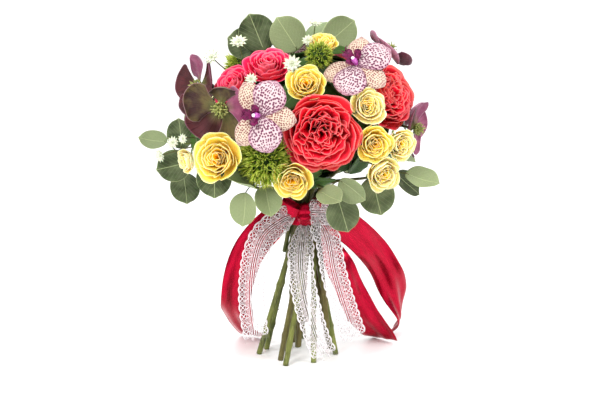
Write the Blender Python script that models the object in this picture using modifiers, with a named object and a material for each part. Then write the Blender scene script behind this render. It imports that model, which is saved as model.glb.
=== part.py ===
"""A hand-tied bridal bouquet that stands on the spread of its own cut stems.

Metres, +Z up. Every stem passes through a tie at the waist and turns round the bundle the
same way, as a florist lays them, so below the tie they open into a ring that stands alone.
Above it they carry garden roses, spray roses, moth orchids, hellebores, green dianthus,
masterwort and silver dollar eucalyptus. A satin ribbon and a lace ribbon are tied round the
waist and trail. The camera side is -Y. The origin is the middle of the base.
"""

import math
import random
from collections import namedtuple

import bmesh
import bpy
from mathutils import Matrix, Vector

# Driving dimensions of the bunch.
WAIST_HEIGHT = 0.178
WAIST_PITCH = 0.0064
STEM_RADIUS = 0.0029
BRANCH_RADIUS = 0.0019
STALK_RADIUS = 0.0017
TWIST = 17.0
TURN_ON = 0.6
SHORT_STEM = 0.128
END_RING = 0.004
GAP = 0.0003
MERGE = 0.00005
UP = Vector((0, 0, 1))

# The calyx under a flower: its neck, the length of its cup and the radius under a bloom and a bud.
NECK = 0.010
CUP = 0.003
CUP_RADIUS = 0.0042
BUD_CUP_RADIUS = 0.003
BUD_ACROSS = 0.033

# Thickness of the blades.
PETAL = 0.0007
LEAF = 0.0008
SATIN = 0.0008

# Ribbons and the tie.
SATIN_WIDTH = 0.038
SATIN_ROWS = 10
LACE_WIDTH = 0.032
LACE_ROWS = 18
SCALLOP = 0.88
GATHER = 0.4
TIE_HEIGHT = 0.026
TIE_THICKNESS = 0.0016
TIE_PLAY = 0.0011
TIE_SIDES = 20
KNOT_RADIUS = 0.011
KNOT_SHAPE = (1.0, 0.55, 1.15)

# Blooms: whorls of petals drawn out of a heart. FAN lifts one edge of a petal off its neighbour, and
# WAVE, a share of the width, ruffles it in FOLDS waves round the bloom.
Whorl = namedtuple("Whorl", "foot length lean")
PETALS = 5
RING = 0.0012
FAN = 0.0006
WAVE = 0.02
FOLDS = 10
SPREAD_OF_SIZES = 0.03
ARC_STEPS = 12
ROUND_TIP = ((0.46, 0.46, 0.97), (0.80, 0.78, 1.15), (1.0, 0.92, 0.60))
SHORT_TIP = ((0.50, 0.50, 0.97), (1.0, 0.88, 0.85))
GARDEN_ROSE = (
    Whorl(0.03, 0.50, (84, 30)),
    Whorl(0.09, 0.37, (60, 2)),
    Whorl(0.15, 0.26, (24, -16)),
)
SMALL_ROSE = (Whorl(0.04, 0.48, (80, 24)), Whorl(0.12, 0.29, (45, -14)))
BUD_ROSE = (Whorl(0.05, 0.42, (58, -4)),)
HELLEBORE = (Whorl(0.035, 0.44, (76, 64)),)
ROSE_DEPTH = 0.40
HELLEBORE_DEPTH = 0.10

# An orchid: its column, and its blades as turn, length, width, foot, lean, wrap, tip and columns.
Blade = namedtuple("Blade", "turn length width foot lean wrap tip columns")
ORCHID_DEPTH = 0.006
ORCHID_COLUMN = ((0, 0.010), (0.0022, 0.008), (0.0030, 0.003), (0.0022, GAP), (0, GAP))
SEPALS = [Blade(turn, 0.48, 0.36, (0.001, 0.0026), (82, 98), 0.15, 0.3, 3) for turn in (90, 212, 328)]
BROAD_PETALS = [Blade(turn, 0.50, 0.50, (0.001, 0.0048), (72, 96), 0.2, 0.35, 3) for turn in (22, 158)]
LIP = Blade(270, 0.19, 0.17, (0.0, 0.007), (30, 115), 0.6, 0.25, 2)

# A round leaf: the share of its blade that is stalk, half the stalk's width and how it is hollowed.
STALK_SHARE = 0.2
STALK_HALF = 0.07
HOLLOW = 0.16
LEAF_LENGTH = 1.04

# A masterwort star, as shares of its radius: the rise of its middle, of its tips and of its notches.
BRACTS = 7
DOME = 0.42
TIP_RISE = 0.30
NOTCH_RISE = 0.12
NOTCH = 0.64
STAR_STALK_RADIUS = 0.0011
STAR_STALK_TIP = 0.0006

# A green dianthus, as shares of its width: core, root, length and foot of a bristle, and its tilt.
CORE = 0.34
BRISTLE_ROOT = 0.27
BRISTLE_LENGTH = 0.22
BRISTLE_RADIUS = 0.045
BRISTLE_TILT = 0.3

Flower = namedtuple("Flower", "name kind centre faces across roll")
Stem = namedtuple("Stem", "name flowers fork foot gain")
Leaf = namedtuple("Leaf", "centre tip faces across")
Spray = namedtuple("Spray", "name tip bulge leaves")
Head = namedtuple("Head", "centre faces across")
Turn = namedtuple("Turn", "centre across")

# What each species looks like: base colour, roughness.
FINISHES = {
    "coral_petal": ((0.80, 0.10, 0.13), 0.55),
    "pink_petal": ((0.78, 0.05, 0.14), 0.55),
    "yellow_petal": ((0.93, 0.72, 0.25), 0.55),
    "orchid_petal": ((0.86, 0.74, 0.82), 0.5),
    "hellebore_petal": ((0.17, 0.06, 0.10), 0.5),
    "dianthus_green": ((0.25, 0.42, 0.03), 0.7),
    "masterwort_white": ((0.80, 0.80, 0.68), 0.7),
    "eucalyptus_leaf": ((0.20, 0.29, 0.16), 0.55),
    "stem_green": ((0.20, 0.26, 0.06), 0.5),
    "satin_red": ((0.58, 0.01, 0.05), 0.3),
    "lace_white": ((0.92, 0.86, 0.87), 0.8),
}

# Each flower: its kind, the middle of its face, the way it faces, its width, its turn in degrees.
FLOWERS = {
    f.name: f
    for f in (
        Flower("rose_coral_front", "coral", (0.021, -0.120, 0.292), (0.05, -1, 0.0), 0.084, 0),
        Flower("rose_coral_right", "coral", (0.104, -0.056, 0.330), (0.75, -0.62, 0.35), 0.073, 20),
        Flower("rose_pink_left", "pink", (-0.083, -0.058, 0.344), (-0.50, -0.60, 0.65), 0.053, 10),
        Flower("rose_pink_top", "pink", (-0.039, -0.058, 0.368), (0.0, -0.55, 0.85), 0.054, 40),
        Flower("rose_coral_back", "coral", (-0.028, 0.112, 0.292), (-0.15, 1, 0.1), 0.080, 0),
        Flower("rose_pink_back", "pink", (0.064, 0.078, 0.350), (0.40, 0.70, 0.65), 0.058, 30),
        Flower("spray_rose_left", "yellow", (-0.098, -0.116, 0.267), (-0.35, -0.90, 0.25), 0.054, 0),
        Flower("spray_rose_left_small", "yellow", (-0.137, -0.066, 0.252), (-0.85, -0.6, -0.15), 0.028, 0),
        Flower("spray_rose_top", "yellow", (0.003, -0.098, 0.348), (-0.05, -0.85, 0.50), 0.042, 15),
        Flower("spray_rose_crown", "yellow", (0.024, -0.036, 0.388), (0.05, -0.45, 0.90), 0.032, 0),
        Flower("spray_rose_low", "yellow", (-0.012, -0.119, 0.239), (-0.05, -0.95, -0.25), 0.044, 0),
        Flower("spray_rose_right_upper", "yellow", (0.073, -0.101, 0.322), (0.25, -0.95, 0.3), 0.040, 30),
        Flower("spray_rose_right_inner", "yellow", (0.081, -0.105, 0.279), (0.25, -0.95, 0.0), 0.040, 0),
        Flower("spray_rose_right_outer", "yellow", (0.112, -0.088, 0.276), (0.55, -0.85, 0.05), 0.036, 10),
        Flower("spray_rose_right_low", "yellow", (0.092, -0.098, 0.242), (0.35, -0.90, -0.25), 0.040, 40),
        Flower("spray_rose_back_left", "yellow", (-0.098, 0.078, 0.302), (-0.70, 0.60, 0.25), 0.044, 0),
        Flower("spray_rose_back_right", "yellow", (0.058, 0.112, 0.272), (0.40, 0.90, 0.0), 0.044, 20),
        Flower("orchid_front", "orchid", (-0.048, -0.130, 0.316), (-0.15, -1, 0.15), 0.084, -95),
        Flower("orchid_right", "orchid", (0.060, -0.078, 0.366), (-0.10, -0.75, 0.65), 0.084, -125),
        Flower("orchid_back", "orchid", (0.014, 0.104, 0.352), (0.05, 0.80, 0.55), 0.080, 10),
        Flower("hellebore_left_front", "hellebore", (-0.094, -0.086, 0.315), (-0.3, -1, -0.05), 0.090, 0),
        Flower("hellebore_left_back", "hellebore", (-0.126, -0.028, 0.334), (-0.85, -0.5, 0.15), 0.080, 20),
        Flower("hellebore_right_top", "hellebore", (0.104, 0.010, 0.374), (0.65, 0.20, 0.75), 0.072, 0),
        Flower("hellebore_right_low", "hellebore", (0.136, -0.036, 0.284), (0.9, -0.4, -0.1), 0.074, 0),
        Flower("hellebore_back", "hellebore", (0.108, 0.072, 0.300), (0.80, 0.60, 0.05), 0.080, 0),
    )
}

# Each stem: the flowers it carries, where it forks, the height its cut end stands at and how
# much further out than the rest it lands.
STEMS = (
    Stem("rose_coral_front_stem", ["rose_coral_front"], None, 0.0, 1.15),
    Stem("rose_coral_right_stem", ["rose_coral_right"], None, 0.0, 1.0),
    Stem("rose_pink_left_stem", ["rose_pink_left"], None, 0.0, 1.0),
    Stem("rose_pink_top_stem", ["rose_pink_top"], None, 0.0, 1.0),
    Stem("rose_coral_back_stem", ["rose_coral_back"], None, 0.0, 1.0),
    Stem("rose_pink_back_stem", ["rose_pink_back"], None, 0.0, 1.0),
    Stem(
        "spray_rose_left_stem",
        ["spray_rose_left", "spray_rose_left_small"],
        (-0.070, -0.045, 0.245),
        0.0,
        1.0,
    ),
    Stem("spray_rose_top_stem", ["spray_rose_top", "spray_rose_crown"], (0.002, -0.022, 0.305), 0.0, 1.0),
    Stem("spray_rose_low_stem", ["spray_rose_low"], None, 0.0, 1.0),
    Stem(
        "spray_rose_right_stem",
        ["spray_rose_right_upper", "spray_rose_right_inner", "spray_rose_right_outer", "spray_rose_right_low"],
        (0.048, -0.046, 0.244),
        0.0,
        1.0,
    ),
    Stem(
        "spray_rose_back_stem",
        ["spray_rose_back_left", "spray_rose_back_right"],
        (-0.036, 0.046, 0.262),
        0.0,
        1.0,
    ),
    Stem(
        "hellebore_left_stem",
        ["hellebore_left_front", "hellebore_left_back"],
        (-0.078, -0.018, 0.282),
        0.030,
        1.0,
    ),
    Stem(
        "hellebore_right_stem",
        ["hellebore_right_top", "hellebore_right_low"],
        (0.070, -0.004, 0.285),
        0.018,
        1.0,
    ),
    Stem("hellebore_back_stem", ["hellebore_back"], None, 0.040, 1.0),
)

# Each spray of eucalyptus: the end of its branch, where the branch bulges, and its leaves.
EUCALYPTUS = (
    Spray(
        "eucalyptus_left",
        (-0.150, 0.004, 0.246),
        (-0.080, 0.000, 0.225),
        [
            Leaf((-0.178, 0.000, 0.264), (-1, 0, 0.15), (0.1, -0.55, 0.80), 0.032),
            Leaf((-0.144, -0.016, 0.275), (-0.1, -0.1, 1), (-0.3, -1, 0), 0.034),
            Leaf((-0.152, -0.022, 0.238), (-1, -0.2, -0.2), (0.1, -1, 0.25), 0.038),
            Leaf((-0.142, 0.012, 0.205), (0.1, 0, -1), (-0.1, -1, -0.1), 0.037),
            Leaf((-0.102, -0.062, 0.232), (0.0, -0.3, -1), (-0.1, -1, 0.2), 0.042),
        ],
    ),
    Spray(
        "eucalyptus_low_left",
        (-0.062, -0.078, 0.226),
        (-0.034, -0.040, 0.205),
        [
            Leaf((-0.070, -0.106, 0.234), (-0.55, -0.6, 0.55), (0.55, -0.2, 0.75), 0.038),
            Leaf((-0.066, -0.094, 0.203), (-0.15, -0.3, -1), (-0.4, -0.9, 0.15), 0.036),
            Leaf((-0.040, -0.094, 0.212), (0.2, -0.5, -0.85), (0.1, -0.9, 0.5), 0.034),
        ],
    ),
    Spray(
        "eucalyptus_low_right",
        (0.030, -0.084, 0.226),
        (0.014, -0.040, 0.212),
        [
            Leaf((0.030, -0.108, 0.220), (0.7, -0.6, -0.2), (-0.2, -0.6, 0.8), 0.030),
            Leaf((0.056, -0.094, 0.226), (0.8, -0.2, -0.6), (-0.4, -0.9, -0.2), 0.034),
            Leaf((0.045, -0.090, 0.196), (0.3, 0, -1), (0.0, -1, 0.05), 0.038),
        ],
    ),
    Spray(
        "eucalyptus_right",
        (0.100, -0.050, 0.236),
        (0.050, -0.022, 0.212),
        [
            Leaf((0.084, -0.072, 0.214), (0.25, -0.3, -1), (0.1, -1, 0.2), 0.042),
            Leaf((0.136, -0.066, 0.231), (1, -0.3, -0.15), (0.1, -0.5, 0.85), 0.038),
            Leaf((0.122, -0.030, 0.218), (0.7, 0.1, -0.7), (0.6, -0.5, 0.6), 0.036),
        ],
    ),
    Spray(
        "eucalyptus_top",
        (-0.014, 0.010, 0.372),
        (-0.014, 0.012, 0.290),
        [
            Leaf((-0.054, 0.012, 0.390), (-0.4, 0, 1), (0.0, -1, 0.1), 0.044),
            Leaf((-0.070, 0.026, 0.376), (-1, 0, 0.4), (-0.1, -1, 0.3), 0.038),
            Leaf((-0.018, -0.008, 0.391), (-0.5, -0.1, 0.8), (0.05, -1, 0.1), 0.042),
            Leaf((0.044, 0.006, 0.392), (0.8, 0, 0.7), (0.0, -1, 0.15), 0.038),
            Leaf((0.020, 0.034, 0.384), (0.4, 0.5, 0.7), (0.1, 0.8, -0.5), 0.038),
        ],
    ),
    Spray(
        "eucalyptus_back_left",
        (-0.112, 0.060, 0.262),
        (-0.060, 0.030, 0.230),
        [
            Leaf((-0.140, 0.052, 0.262), (-1, 0, 0.2), (0.2, 0.7, 0.7), 0.038),
            Leaf((-0.110, 0.076, 0.236), (-0.4, 0.5, -0.9), (-0.4, 1, 0.2), 0.040),
            Leaf((-0.128, 0.036, 0.290), (-0.6, -0.1, 0.9), (-0.7, 0.6, 0.2), 0.036),
            Leaf((-0.070, 0.082, 0.228), (0.2, 0.6, -0.8), (0.0, 0.9, 0.5), 0.040),
        ],
    ),
    Spray(
        "eucalyptus_back_right",
        (0.084, 0.072, 0.238),
        (0.040, 0.030, 0.215),
        [
            Leaf((0.100, 0.088, 0.226), (0.6, 0.6, -0.6), (0.4, 0.6, 0.6), 0.040),
            Leaf((0.060, 0.094, 0.222), (-0.2, 0.6, -0.8), (0.0, 0.9, 0.4), 0.038),
            Leaf((0.118, 0.048, 0.232), (1, 0.1, -0.2), (0.2, 0.4, 0.9), 0.038),
        ],
    ),
)

# Each forked stem of masterwort: where it forks and the stars it carries.
MASTERWORT = {
    "masterwort_left_top": (
        (-0.050, -0.020, 0.314),
        [
            Head((-0.104, -0.040, 0.368), (-0.4, -0.7, 0.6), 0.020),
            Head((-0.074, -0.030, 0.384), (-0.1, -0.6, 0.8), 0.022),
            Head((-0.058, -0.090, 0.350), (0.0, -0.9, 0.5), 0.015),
        ],
    ),
    "masterwort_crown": (
        (0.010, -0.012, 0.345),
        [
            Head((0.014, 0.000, 0.402), (0.1, -0.4, 0.9), 0.017),
            Head((0.006, -0.030, 0.386), (-0.2, -0.7, 0.7), 0.016),
            Head((-0.012, -0.082, 0.366), (-0.2, -0.9, 0.4), 0.022),
        ],
    ),
    "masterwort_left": (
        (-0.098, -0.026, 0.262),
        [
            Head((-0.150, -0.044, 0.270), (-0.4, -0.9, 0.3), 0.016),
            Head((-0.166, -0.030, 0.252), (-0.7, -0.7, -0.1), 0.017),
            Head((-0.136, -0.072, 0.280), (-0.5, -0.9, 0.0), 0.013),
        ],
    ),
    "masterwort_back": (
        (-0.022, 0.040, 0.322),
        [
            Head((-0.050, 0.082, 0.350), (-0.4, 0.8, 0.5), 0.020),
            Head((-0.020, 0.050, 0.386), (-0.1, 0.5, 0.9), 0.018),
            Head((-0.064, 0.104, 0.330), (-0.3, 1, 0.2), 0.018),
        ],
    ),
}

# Green dianthus: the middle of each ball, its width and the number of bristles.
DIANTHUS = {
    "dianthus_front": ((-0.042, -0.096, 0.262), 0.060, 38),
    "dianthus_top": ((0.018, -0.060, 0.374), 0.030, 18),
    "dianthus_back": ((-0.070, 0.044, 0.344), 0.048, 22),
}

# Each ribbon: points down its middle, and at each the way its width runs.
SATIN_TAILS = {
    "satin_tail_left": [
        Turn((-0.0140, -0.0182, 0.179), (0, 0, 1)),
        Turn((-0.036, -0.0380, 0.172), (-0.5, 0.1, 0.85)),
        Turn((-0.062, -0.0400, 0.142), (-0.83, 0.05, 0.55)),
        Turn((-0.076, -0.0330, 0.104), (-0.97, -0.1, 0.2)),
        Turn((-0.081, -0.0130, 0.066), (-0.95, -0.2, 0)),
        Turn((-0.076, 0.0180, 0.030), (-0.95, 0.3, 0.05)),
        Turn((-0.062, 0.0560, 0.0020), (-0.9, 0.35, 0.05)),
    ],
    "satin_tail_right": [
        Turn((0.0176, -0.0148, 0.180), (0, 0, 1)),
        Turn((0.040, -0.0200, 0.172), (0.45, 0, 0.85)),
        Turn((0.072, 0.0020, 0.142), (0.7, 0.1, 0.65)),
        Turn((0.098, 0.0300, 0.104), (0.85, 0, 0.5)),
        Turn((0.116, 0.0560, 0.060), (0.8, 0.45, 0.5)),
        Turn((0.124, 0.0700, 0.024), (0.25, 0.9, 0.38)),
        Turn((0.115, 0.0770, 0.0056), (0.3, 0.9, 0.2)),
    ],
    "satin_tail_low": [
        Turn((0.0227, -0.0053, 0.172), (0.22, 0.97, 0)),
        Turn((0.034, -0.0090, 0.134), (0.5, 0.85, 0.3)),
        Turn((0.054, -0.0050, 0.090), (0.8, 0.4, 0.5)),
        Turn((0.074, 0.0160, 0.042), (0.75, 0.1, 0.5)),
        Turn((0.104, 0.0440, 0.0020), (0.7, -0.65, 0.05)),
    ],
}
LACE_TAILS = {
    "lace_tail_left": [
        Turn((-0.0094, -0.0266, 0.180), (0.1, 0.2, 1)),
        Turn((-0.026, -0.0450, 0.177), (-0.35, 0, 0.9)),
        Turn((-0.047, -0.0510, 0.160), (-0.83, 0, 0.55)),
        Turn((-0.058, -0.0510, 0.126), (-1, 0, 0.15)),
        Turn((-0.061, -0.0490, 0.080), (-1, 0, 0)),
        Turn((-0.055, -0.0470, 0.030), (-1, 0, -0.3)),
    ],
    "lace_tail_centre": [
        Turn((0.0010, -0.0234, 0.1668), (1, 0, 0)),
        Turn((-0.003, -0.0460, 0.124), (1, -0.1, 0.0)),
        Turn((0.004, -0.0580, 0.082), (1, -0.1, 0.15)),
        Turn((0.016, -0.0660, 0.042), (1, -0.1, 0.35)),
        Turn((0.028, -0.0680, 0.014), (1, 0, 0.45)),
    ],
    "lace_tail_right": [
        Turn((0.0138, -0.0266, 0.179), (0.6, 0.75, 0)),
        Turn((0.028, -0.0430, 0.158), (0.9, 0.1, 0.45)),
        Turn((0.036, -0.0480, 0.116), (1, 0.1, 0.2)),
        Turn((0.048, -0.0480, 0.074), (1, 0.1, 0.3)),
        Turn((0.062, -0.0440, 0.032), (1, 0.1, 0.45)),
    ],
}


def at(point):
    """A point of the tables as a vector."""
    return Vector(point)


def heading(point):
    return math.atan2(point[1], point[0])


def clear_scene():
    for obj in list(bpy.data.objects):
        bpy.data.objects.remove(obj)


def finish(name):
    """The material of one species, made once."""
    if name in bpy.data.materials:
        return bpy.data.materials[name]
    colour, roughness = FINISHES[name]
    material = bpy.data.materials.new(name)
    material.use_nodes = True
    shader = material.node_tree.nodes["Principled BSDF"]
    shader.inputs["Base Color"].default_value = (*colour, 1)
    shader.inputs["Roughness"].default_value = roughness
    shader.inputs["Metallic"].default_value = 0.0
    return material


# Building blocks.


def link(name, mesh, home):
    obj = bpy.data.objects.new(name, mesh)
    home.objects.link(obj)
    return obj


def thin_sheet(shape, columns, rows, thickness):
    """A blade: a grid whose points shape(u, v) moves, u from -1 to 1 across and v from 0 to 1 along."""
    mesh = bpy.data.meshes.new("blade")
    grid = bmesh.new()
    bmesh.ops.create_grid(grid, x_segments=columns, y_segments=rows, size=1)
    for vertex in grid.verts:
        vertex.co = shape(vertex.co.x, (vertex.co.y + 1) / 2)
    bmesh.ops.remove_doubles(grid, verts=grid.verts, dist=MERGE)
    bmesh.ops.triangulate(grid, faces=grid.faces)
    grid.to_mesh(mesh)
    grid.free()
    obj = link("blade", mesh, WORKSHOP)
    solid = obj.modifiers.new("thickness", "SOLIDIFY")
    solid.thickness = thickness
    solid.offset = 0
    return obj


def petal(blade, across):
    """A petal that leaves the flower's axis at a turn. foot is the (radius, height) it springs from, lean
    the pair of angles from the axis at foot and tip, wrap how far it curls round the axis."""
    turn, length, width = math.radians(blade.turn), blade.length * across, blade.width * across
    start, end = blade.lean
    fullest, narrowing, most_swing = 0.9, 1.2, 1.45

    def shape(u, v):
        along = length * v * (1 - blade.tip * u * u)
        radius, height = blade.foot
        angle = math.radians(start)
        for i in range(ARC_STEPS):
            radius += math.sin(angle) * along / ARC_STEPS
            height += math.cos(angle) * along / ARC_STEPS
            share = (i + 1) / ARC_STEPS * along / length
            angle = math.radians(start + (end - start) * share)
        half = width / 2 * math.sin(math.pi / 2 * min(1, v / fullest)) ** narrowing
        round_it = max(radius / blade.wrap, half / most_swing, MERGE)
        swing = u * half / round_it
        side = round_it * math.sin(swing)
        out = radius - round_it + round_it * math.cos(swing)
        c, s = math.cos(turn), math.sin(turn)
        return Vector((c * out - s * side, s * out + c * side, height))

    return thin_sheet(shape, blade.columns, 2, PETAL)


def turned(profile, sides):
    """A closed turned solid. profile runs down from the axis at the top to the axis at the bottom."""
    mesh = bpy.data.meshes.new("turned")
    line = bmesh.new()
    points = [line.verts.new((radius, 0, height)) for radius, height in profile]
    for first, second in zip(points, points[1:]):
        line.edges.new((first, second))
    line.to_mesh(mesh)
    line.free()
    obj = link("turned", mesh, WORKSHOP)
    screw = obj.modifiers.new("turn", "SCREW")
    screw.steps = screw.render_steps = sides
    screw.use_merge_vertices = True
    screw.merge_threshold = MERGE
    return obj


def spike(foot, head, radius):
    """A slim cone from foot to head."""
    mesh = bpy.data.meshes.new("spike")
    cone = bmesh.new()
    axis = head - foot
    bmesh.ops.create_cone(
        cone, cap_ends=True, segments=3, radius1=radius, radius2=0, depth=axis.length
    )
    bmesh.ops.translate(cone, verts=cone.verts, vec=(0, 0, axis.length / 2))
    cone.to_mesh(mesh)
    cone.free()
    obj = link("spike", mesh, WORKSHOP)
    obj.matrix_world = Matrix.Translation(foot) @ axis.to_track_quat("Z", "Y").to_matrix().to_4x4()
    return obj


def tube(points, radii, resolution=1):
    """A round stem through the points as a closed mesh, with a radius at each point."""
    curve = bpy.data.curves.new("stem", "CURVE")
    curve.dimensions = "3D"
    curve.bevel_depth = 1.0
    curve.bevel_resolution = resolution
    curve.use_fill_caps = True
    spline = curve.splines.new("POLY")
    spline.points.add(len(points) - 1)
    for knot, point, radius in zip(spline.points, points, radii):
        knot.co = (*point, 1)
        knot.radius = radius
    guide = bpy.data.objects.new("guide", curve)
    WORKSHOP.objects.link(guide)
    graph = bpy.context.evaluated_depsgraph_get()
    mesh = bpy.data.meshes.new_from_object(guide.evaluated_get(graph))
    bpy.data.objects.remove(guide)
    body = bmesh.new()
    body.from_mesh(mesh)
    bmesh.ops.remove_doubles(body, verts=body.verts, dist=MERGE)
    bmesh.ops.recalc_face_normals(body, faces=body.faces)
    bmesh.ops.triangulate(body, faces=body.faces)
    body.to_mesh(mesh)
    body.free()
    return link("stem", mesh, WORKSHOP)


def largest_body(mesh):
    """Leaves only the largest closed body: a sealed hollow is filled and a loose scrap is dropped."""
    body = bmesh.new()
    body.from_mesh(mesh)
    left = set(body.verts)
    islands = []
    while left:
        todo = [left.pop()]
        island = set(todo)
        while todo:
            for edge in todo.pop().link_edges:
                for vertex in edge.verts:
                    if vertex not in island:
                        island.add(vertex)
                        todo.append(vertex)
        left -= island
        islands.append(island)
    if len(islands) > 1:
        islands.sort(key=lambda island: max_side(island))
        dropped = [vertex for island in islands[:-1] for vertex in island]
        bmesh.ops.delete(body, geom=dropped, context="VERTS")
    body.to_mesh(mesh)
    body.free()


def max_side(vertices):
    points = [vertex.co for vertex in vertices]
    return max(max(p[k] for p in points) - min(p[k] for p in points) for k in range(3))


def fuse(name, parts, finish_name):
    """Joins the parts into the one closed body of a node, in the frame of the first part."""
    first, others = parts[0], parts[1:]
    joining = bpy.data.collections.new("joining")
    bpy.context.scene.collection.children.link(joining)
    for part in others:
        WORKSHOP.objects.unlink(part)
        joining.objects.link(part)
    if others:
        union = first.modifiers.new("join", "BOOLEAN")
        union.operation = "UNION"
        union.operand_type = "COLLECTION"
        union.collection = joining
        union.solver = "MANIFOLD"
    graph = bpy.context.evaluated_depsgraph_get()
    graph.update()
    mesh = bpy.data.meshes.new_from_object(first.evaluated_get(graph))
    mesh.name = name
    where = first.matrix_world.copy()
    for part in parts:
        bpy.data.objects.remove(part)
    bpy.data.collections.remove(joining)
    largest_body(mesh)
    mesh.materials.clear()
    mesh.materials.append(finish(finish_name))
    mesh.shade_smooth()
    mesh.set_sharp_from_angle(angle=math.radians(45))
    obj = link(name, mesh, BOUQUET)
    obj.matrix_world = where
    return obj


def pose(centre, faces, roll=0.0):
    """The matrix of a flower: local +Z is the way it faces, local +Y as near upright as that allows."""
    forward = at(faces).normalized()
    right = UP.cross(forward)
    if right.length < 0.05:
        right = Vector((1, 0, 0))
    right.normalize()
    upright = forward.cross(right)
    turn = Matrix((right, upright, forward)).transposed().to_4x4()
    return Matrix.Translation(at(centre)) @ turn @ Matrix.Rotation(math.radians(roll), 4, "Z")


# Flowers, each in its own frame: +Z is the way it faces, and the stem meets it at the origin.


def bloom(across, heart, knob, whorls, rows, seed=0):
    """A bloom as one body. A turned heart carries whorls of five petals, and each petal is drawn out
    of two facets of a narrow ring round the heart, so that it is a true blade grown from it. heart is
    the radius of that ring and knob the (radius, height) of the bud above it, as shares of the width."""
    draw = random.Random(seed)
    profile = [(0, knob[1]), (knob[0] * 0.8, knob[1] * 0.93), (knob[0], (knob[1] + whorls[-1].foot) / 2)]
    for whorl in reversed(whorls):
        profile += [(heart, whorl.foot + RING / across), (heart, whorl.foot)]
    profile += [(heart * 0.7, GAP / across), (0, GAP / across)]
    source = turned([(radius * across, height * across) for radius, height in profile], 2 * PETALS)
    body = bmesh.new()
    body.from_object(source, bpy.context.evaluated_depsgraph_get())
    bpy.data.objects.remove(source)
    rings = []
    for order, whorl in enumerate(whorls):
        level = whorl.foot * across + RING / 2
        facets = [f for f in body.faces if abs(f.calc_center_median().z - level) < RING / 4]
        facets.sort(key=lambda f: heading(f.calc_center_median()))
        facets = facets[order % 2 :] + facets[: order % 2]
        rings.append(facets)
    for whorl, facets in zip(whorls, rings):
        for i in range(PETALS):
            size = 1 + draw.uniform(-SPREAD_OF_SIZES, SPREAD_OF_SIZES)
            draw_out(body, facets[2 * i : 2 * i + 2], across, heart, whorl, rows, size)
    bmesh.ops.triangulate(body, faces=body.faces)
    mesh = bpy.data.meshes.new("bloom")
    body.to_mesh(mesh)
    body.free()
    return link("bloom", mesh, WORKSHOP)


def draw_out(body, facets, across, heart, whorl, rows, size):
    """Draws one petal out of two facets, a row at a time. A row is how far along the petal it lies at
    the middle and at the edge, and its width against the space between petals."""
    centre = (facets[0].calc_center_median() + facets[1].calc_center_median()) / 2
    turn = heading(centre)
    spots = {}
    for vertex in {v for facet in facets for v in facet.verts}:
        swing = math.remainder(heading(vertex.co) - turn, 2 * math.pi)
        side = 1 if vertex.co.z < centre.z else -1
        spots[tuple(vertex.co)] = (round(swing * PETALS / math.pi), side)
    for middle, edge, spread in rows:
        drawn = bmesh.ops.extrude_face_region(body, geom=facets)["geom"]
        moved = {}
        for vertex in [v for v in drawn if isinstance(v, bmesh.types.BMVert)]:
            u, side = spots[tuple(vertex.co)]
            v = edge if u else middle
            angle, radius, height = whorl_line(whorl, heart, v * size)
            swing = turn + u * spread * math.pi / PETALS
            lift = FAN * u + WAVE * across * v * v * math.sin(FOLDS * swing) + side * PETAL / 2
            out = radius * across + lift * math.cos(angle)
            rise = height * across - lift * math.sin(angle)
            vertex.co = (out * math.cos(swing), out * math.sin(swing), rise)
            moved[tuple(vertex.co)] = (u, side)
        bmesh.ops.delete(body, geom=facets, context="FACES")
        spots = moved
        facets = [f for f in drawn if isinstance(f, bmesh.types.BMFace)]


def whorl_line(whorl, heart, v):
    """The angle, radius and height of a petal at v along it, as shares of the bloom's width."""
    radius, height = heart, whorl.foot
    start, end = whorl.lean
    for i in range(ARC_STEPS):
        angle = math.radians(start + (end - start) * (i + 0.5) / ARC_STEPS * v)
        radius += math.sin(angle) * whorl.length * v / ARC_STEPS
        height += math.cos(angle) * whorl.length * v / ARC_STEPS
    return math.radians(start + (end - start) * v), radius, height


def orchid_parts(across):
    """Three narrow sepals, two broad petals, a lip and its column."""
    return [turned(ORCHID_COLUMN, 5)] + [petal(blade, across) for blade in SEPALS + BROAD_PETALS + [LIP]]


def place_flower(name):
    """Builds one flower and stands it on the end of its stem."""
    flower = FLOWERS[name]
    seed = sum(map(ord, name))
    if flower.kind == "coral":
        body = bloom(flower.across, 0.11, (0.07, 0.38), GARDEN_ROSE, ROUND_TIP, seed)
    elif flower.kind == "hellebore":
        body = bloom(flower.across, 0.07, (0.06, 0.15), HELLEBORE, ROUND_TIP, seed)
    elif flower.across > BUD_ACROSS and "back" not in name:
        body = bloom(flower.across, 0.12, (0.08, 0.36), SMALL_ROSE, SHORT_TIP, seed)
    else:
        body = bloom(flower.across, 0.13, (0.10, 0.38), BUD_ROSE, ROUND_TIP, seed)
    obj = fuse(name, [body], flower.kind + "_petal")
    obj.matrix_world = pose(foot_of(flower), flower.faces, flower.roll)


def depth_of(flower):
    """How far the face of a flower stands in front of its foot."""
    if flower.kind == "orchid":
        return ORCHID_DEPTH
    if flower.kind == "hellebore":
        return HELLEBORE_DEPTH * flower.across
    return ROSE_DEPTH * flower.across


def foot_of(flower):
    """Where the stem meets the flower."""
    return at(flower.centre) - at(flower.faces).normalized() * depth_of(flower)


# Stems.


def bezier(first, second, third, last, count):
    points = []
    for i in range(count + 1):
        t = i / count
        s = 1 - t
        points.append(first * s**3 + second * (3 * s * s * t) + third * (3 * s * t * t) + last * t**3)
    return points


def waist_slots():
    """Where each stem lies in the tie: one in the middle and rings of 6, 12 and 12 packed round it."""
    steps = [Vector((math.cos(math.radians(a)), math.sin(math.radians(a)))) for a in range(0, 360, 60)]
    rings = {0: [], 1: [], 2: [], 3: []}
    for i in range(-3, 4):
        for j in range(-3, 4):
            spot = steps[0] * i + steps[1] * j
            ring = max(abs(i), abs(j), abs(i + j))
            if ring < 3 or ring == 3 and 0 not in (i, j, i + j):
                rings[ring].append(spot * WAIST_PITCH)
    return rings


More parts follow.
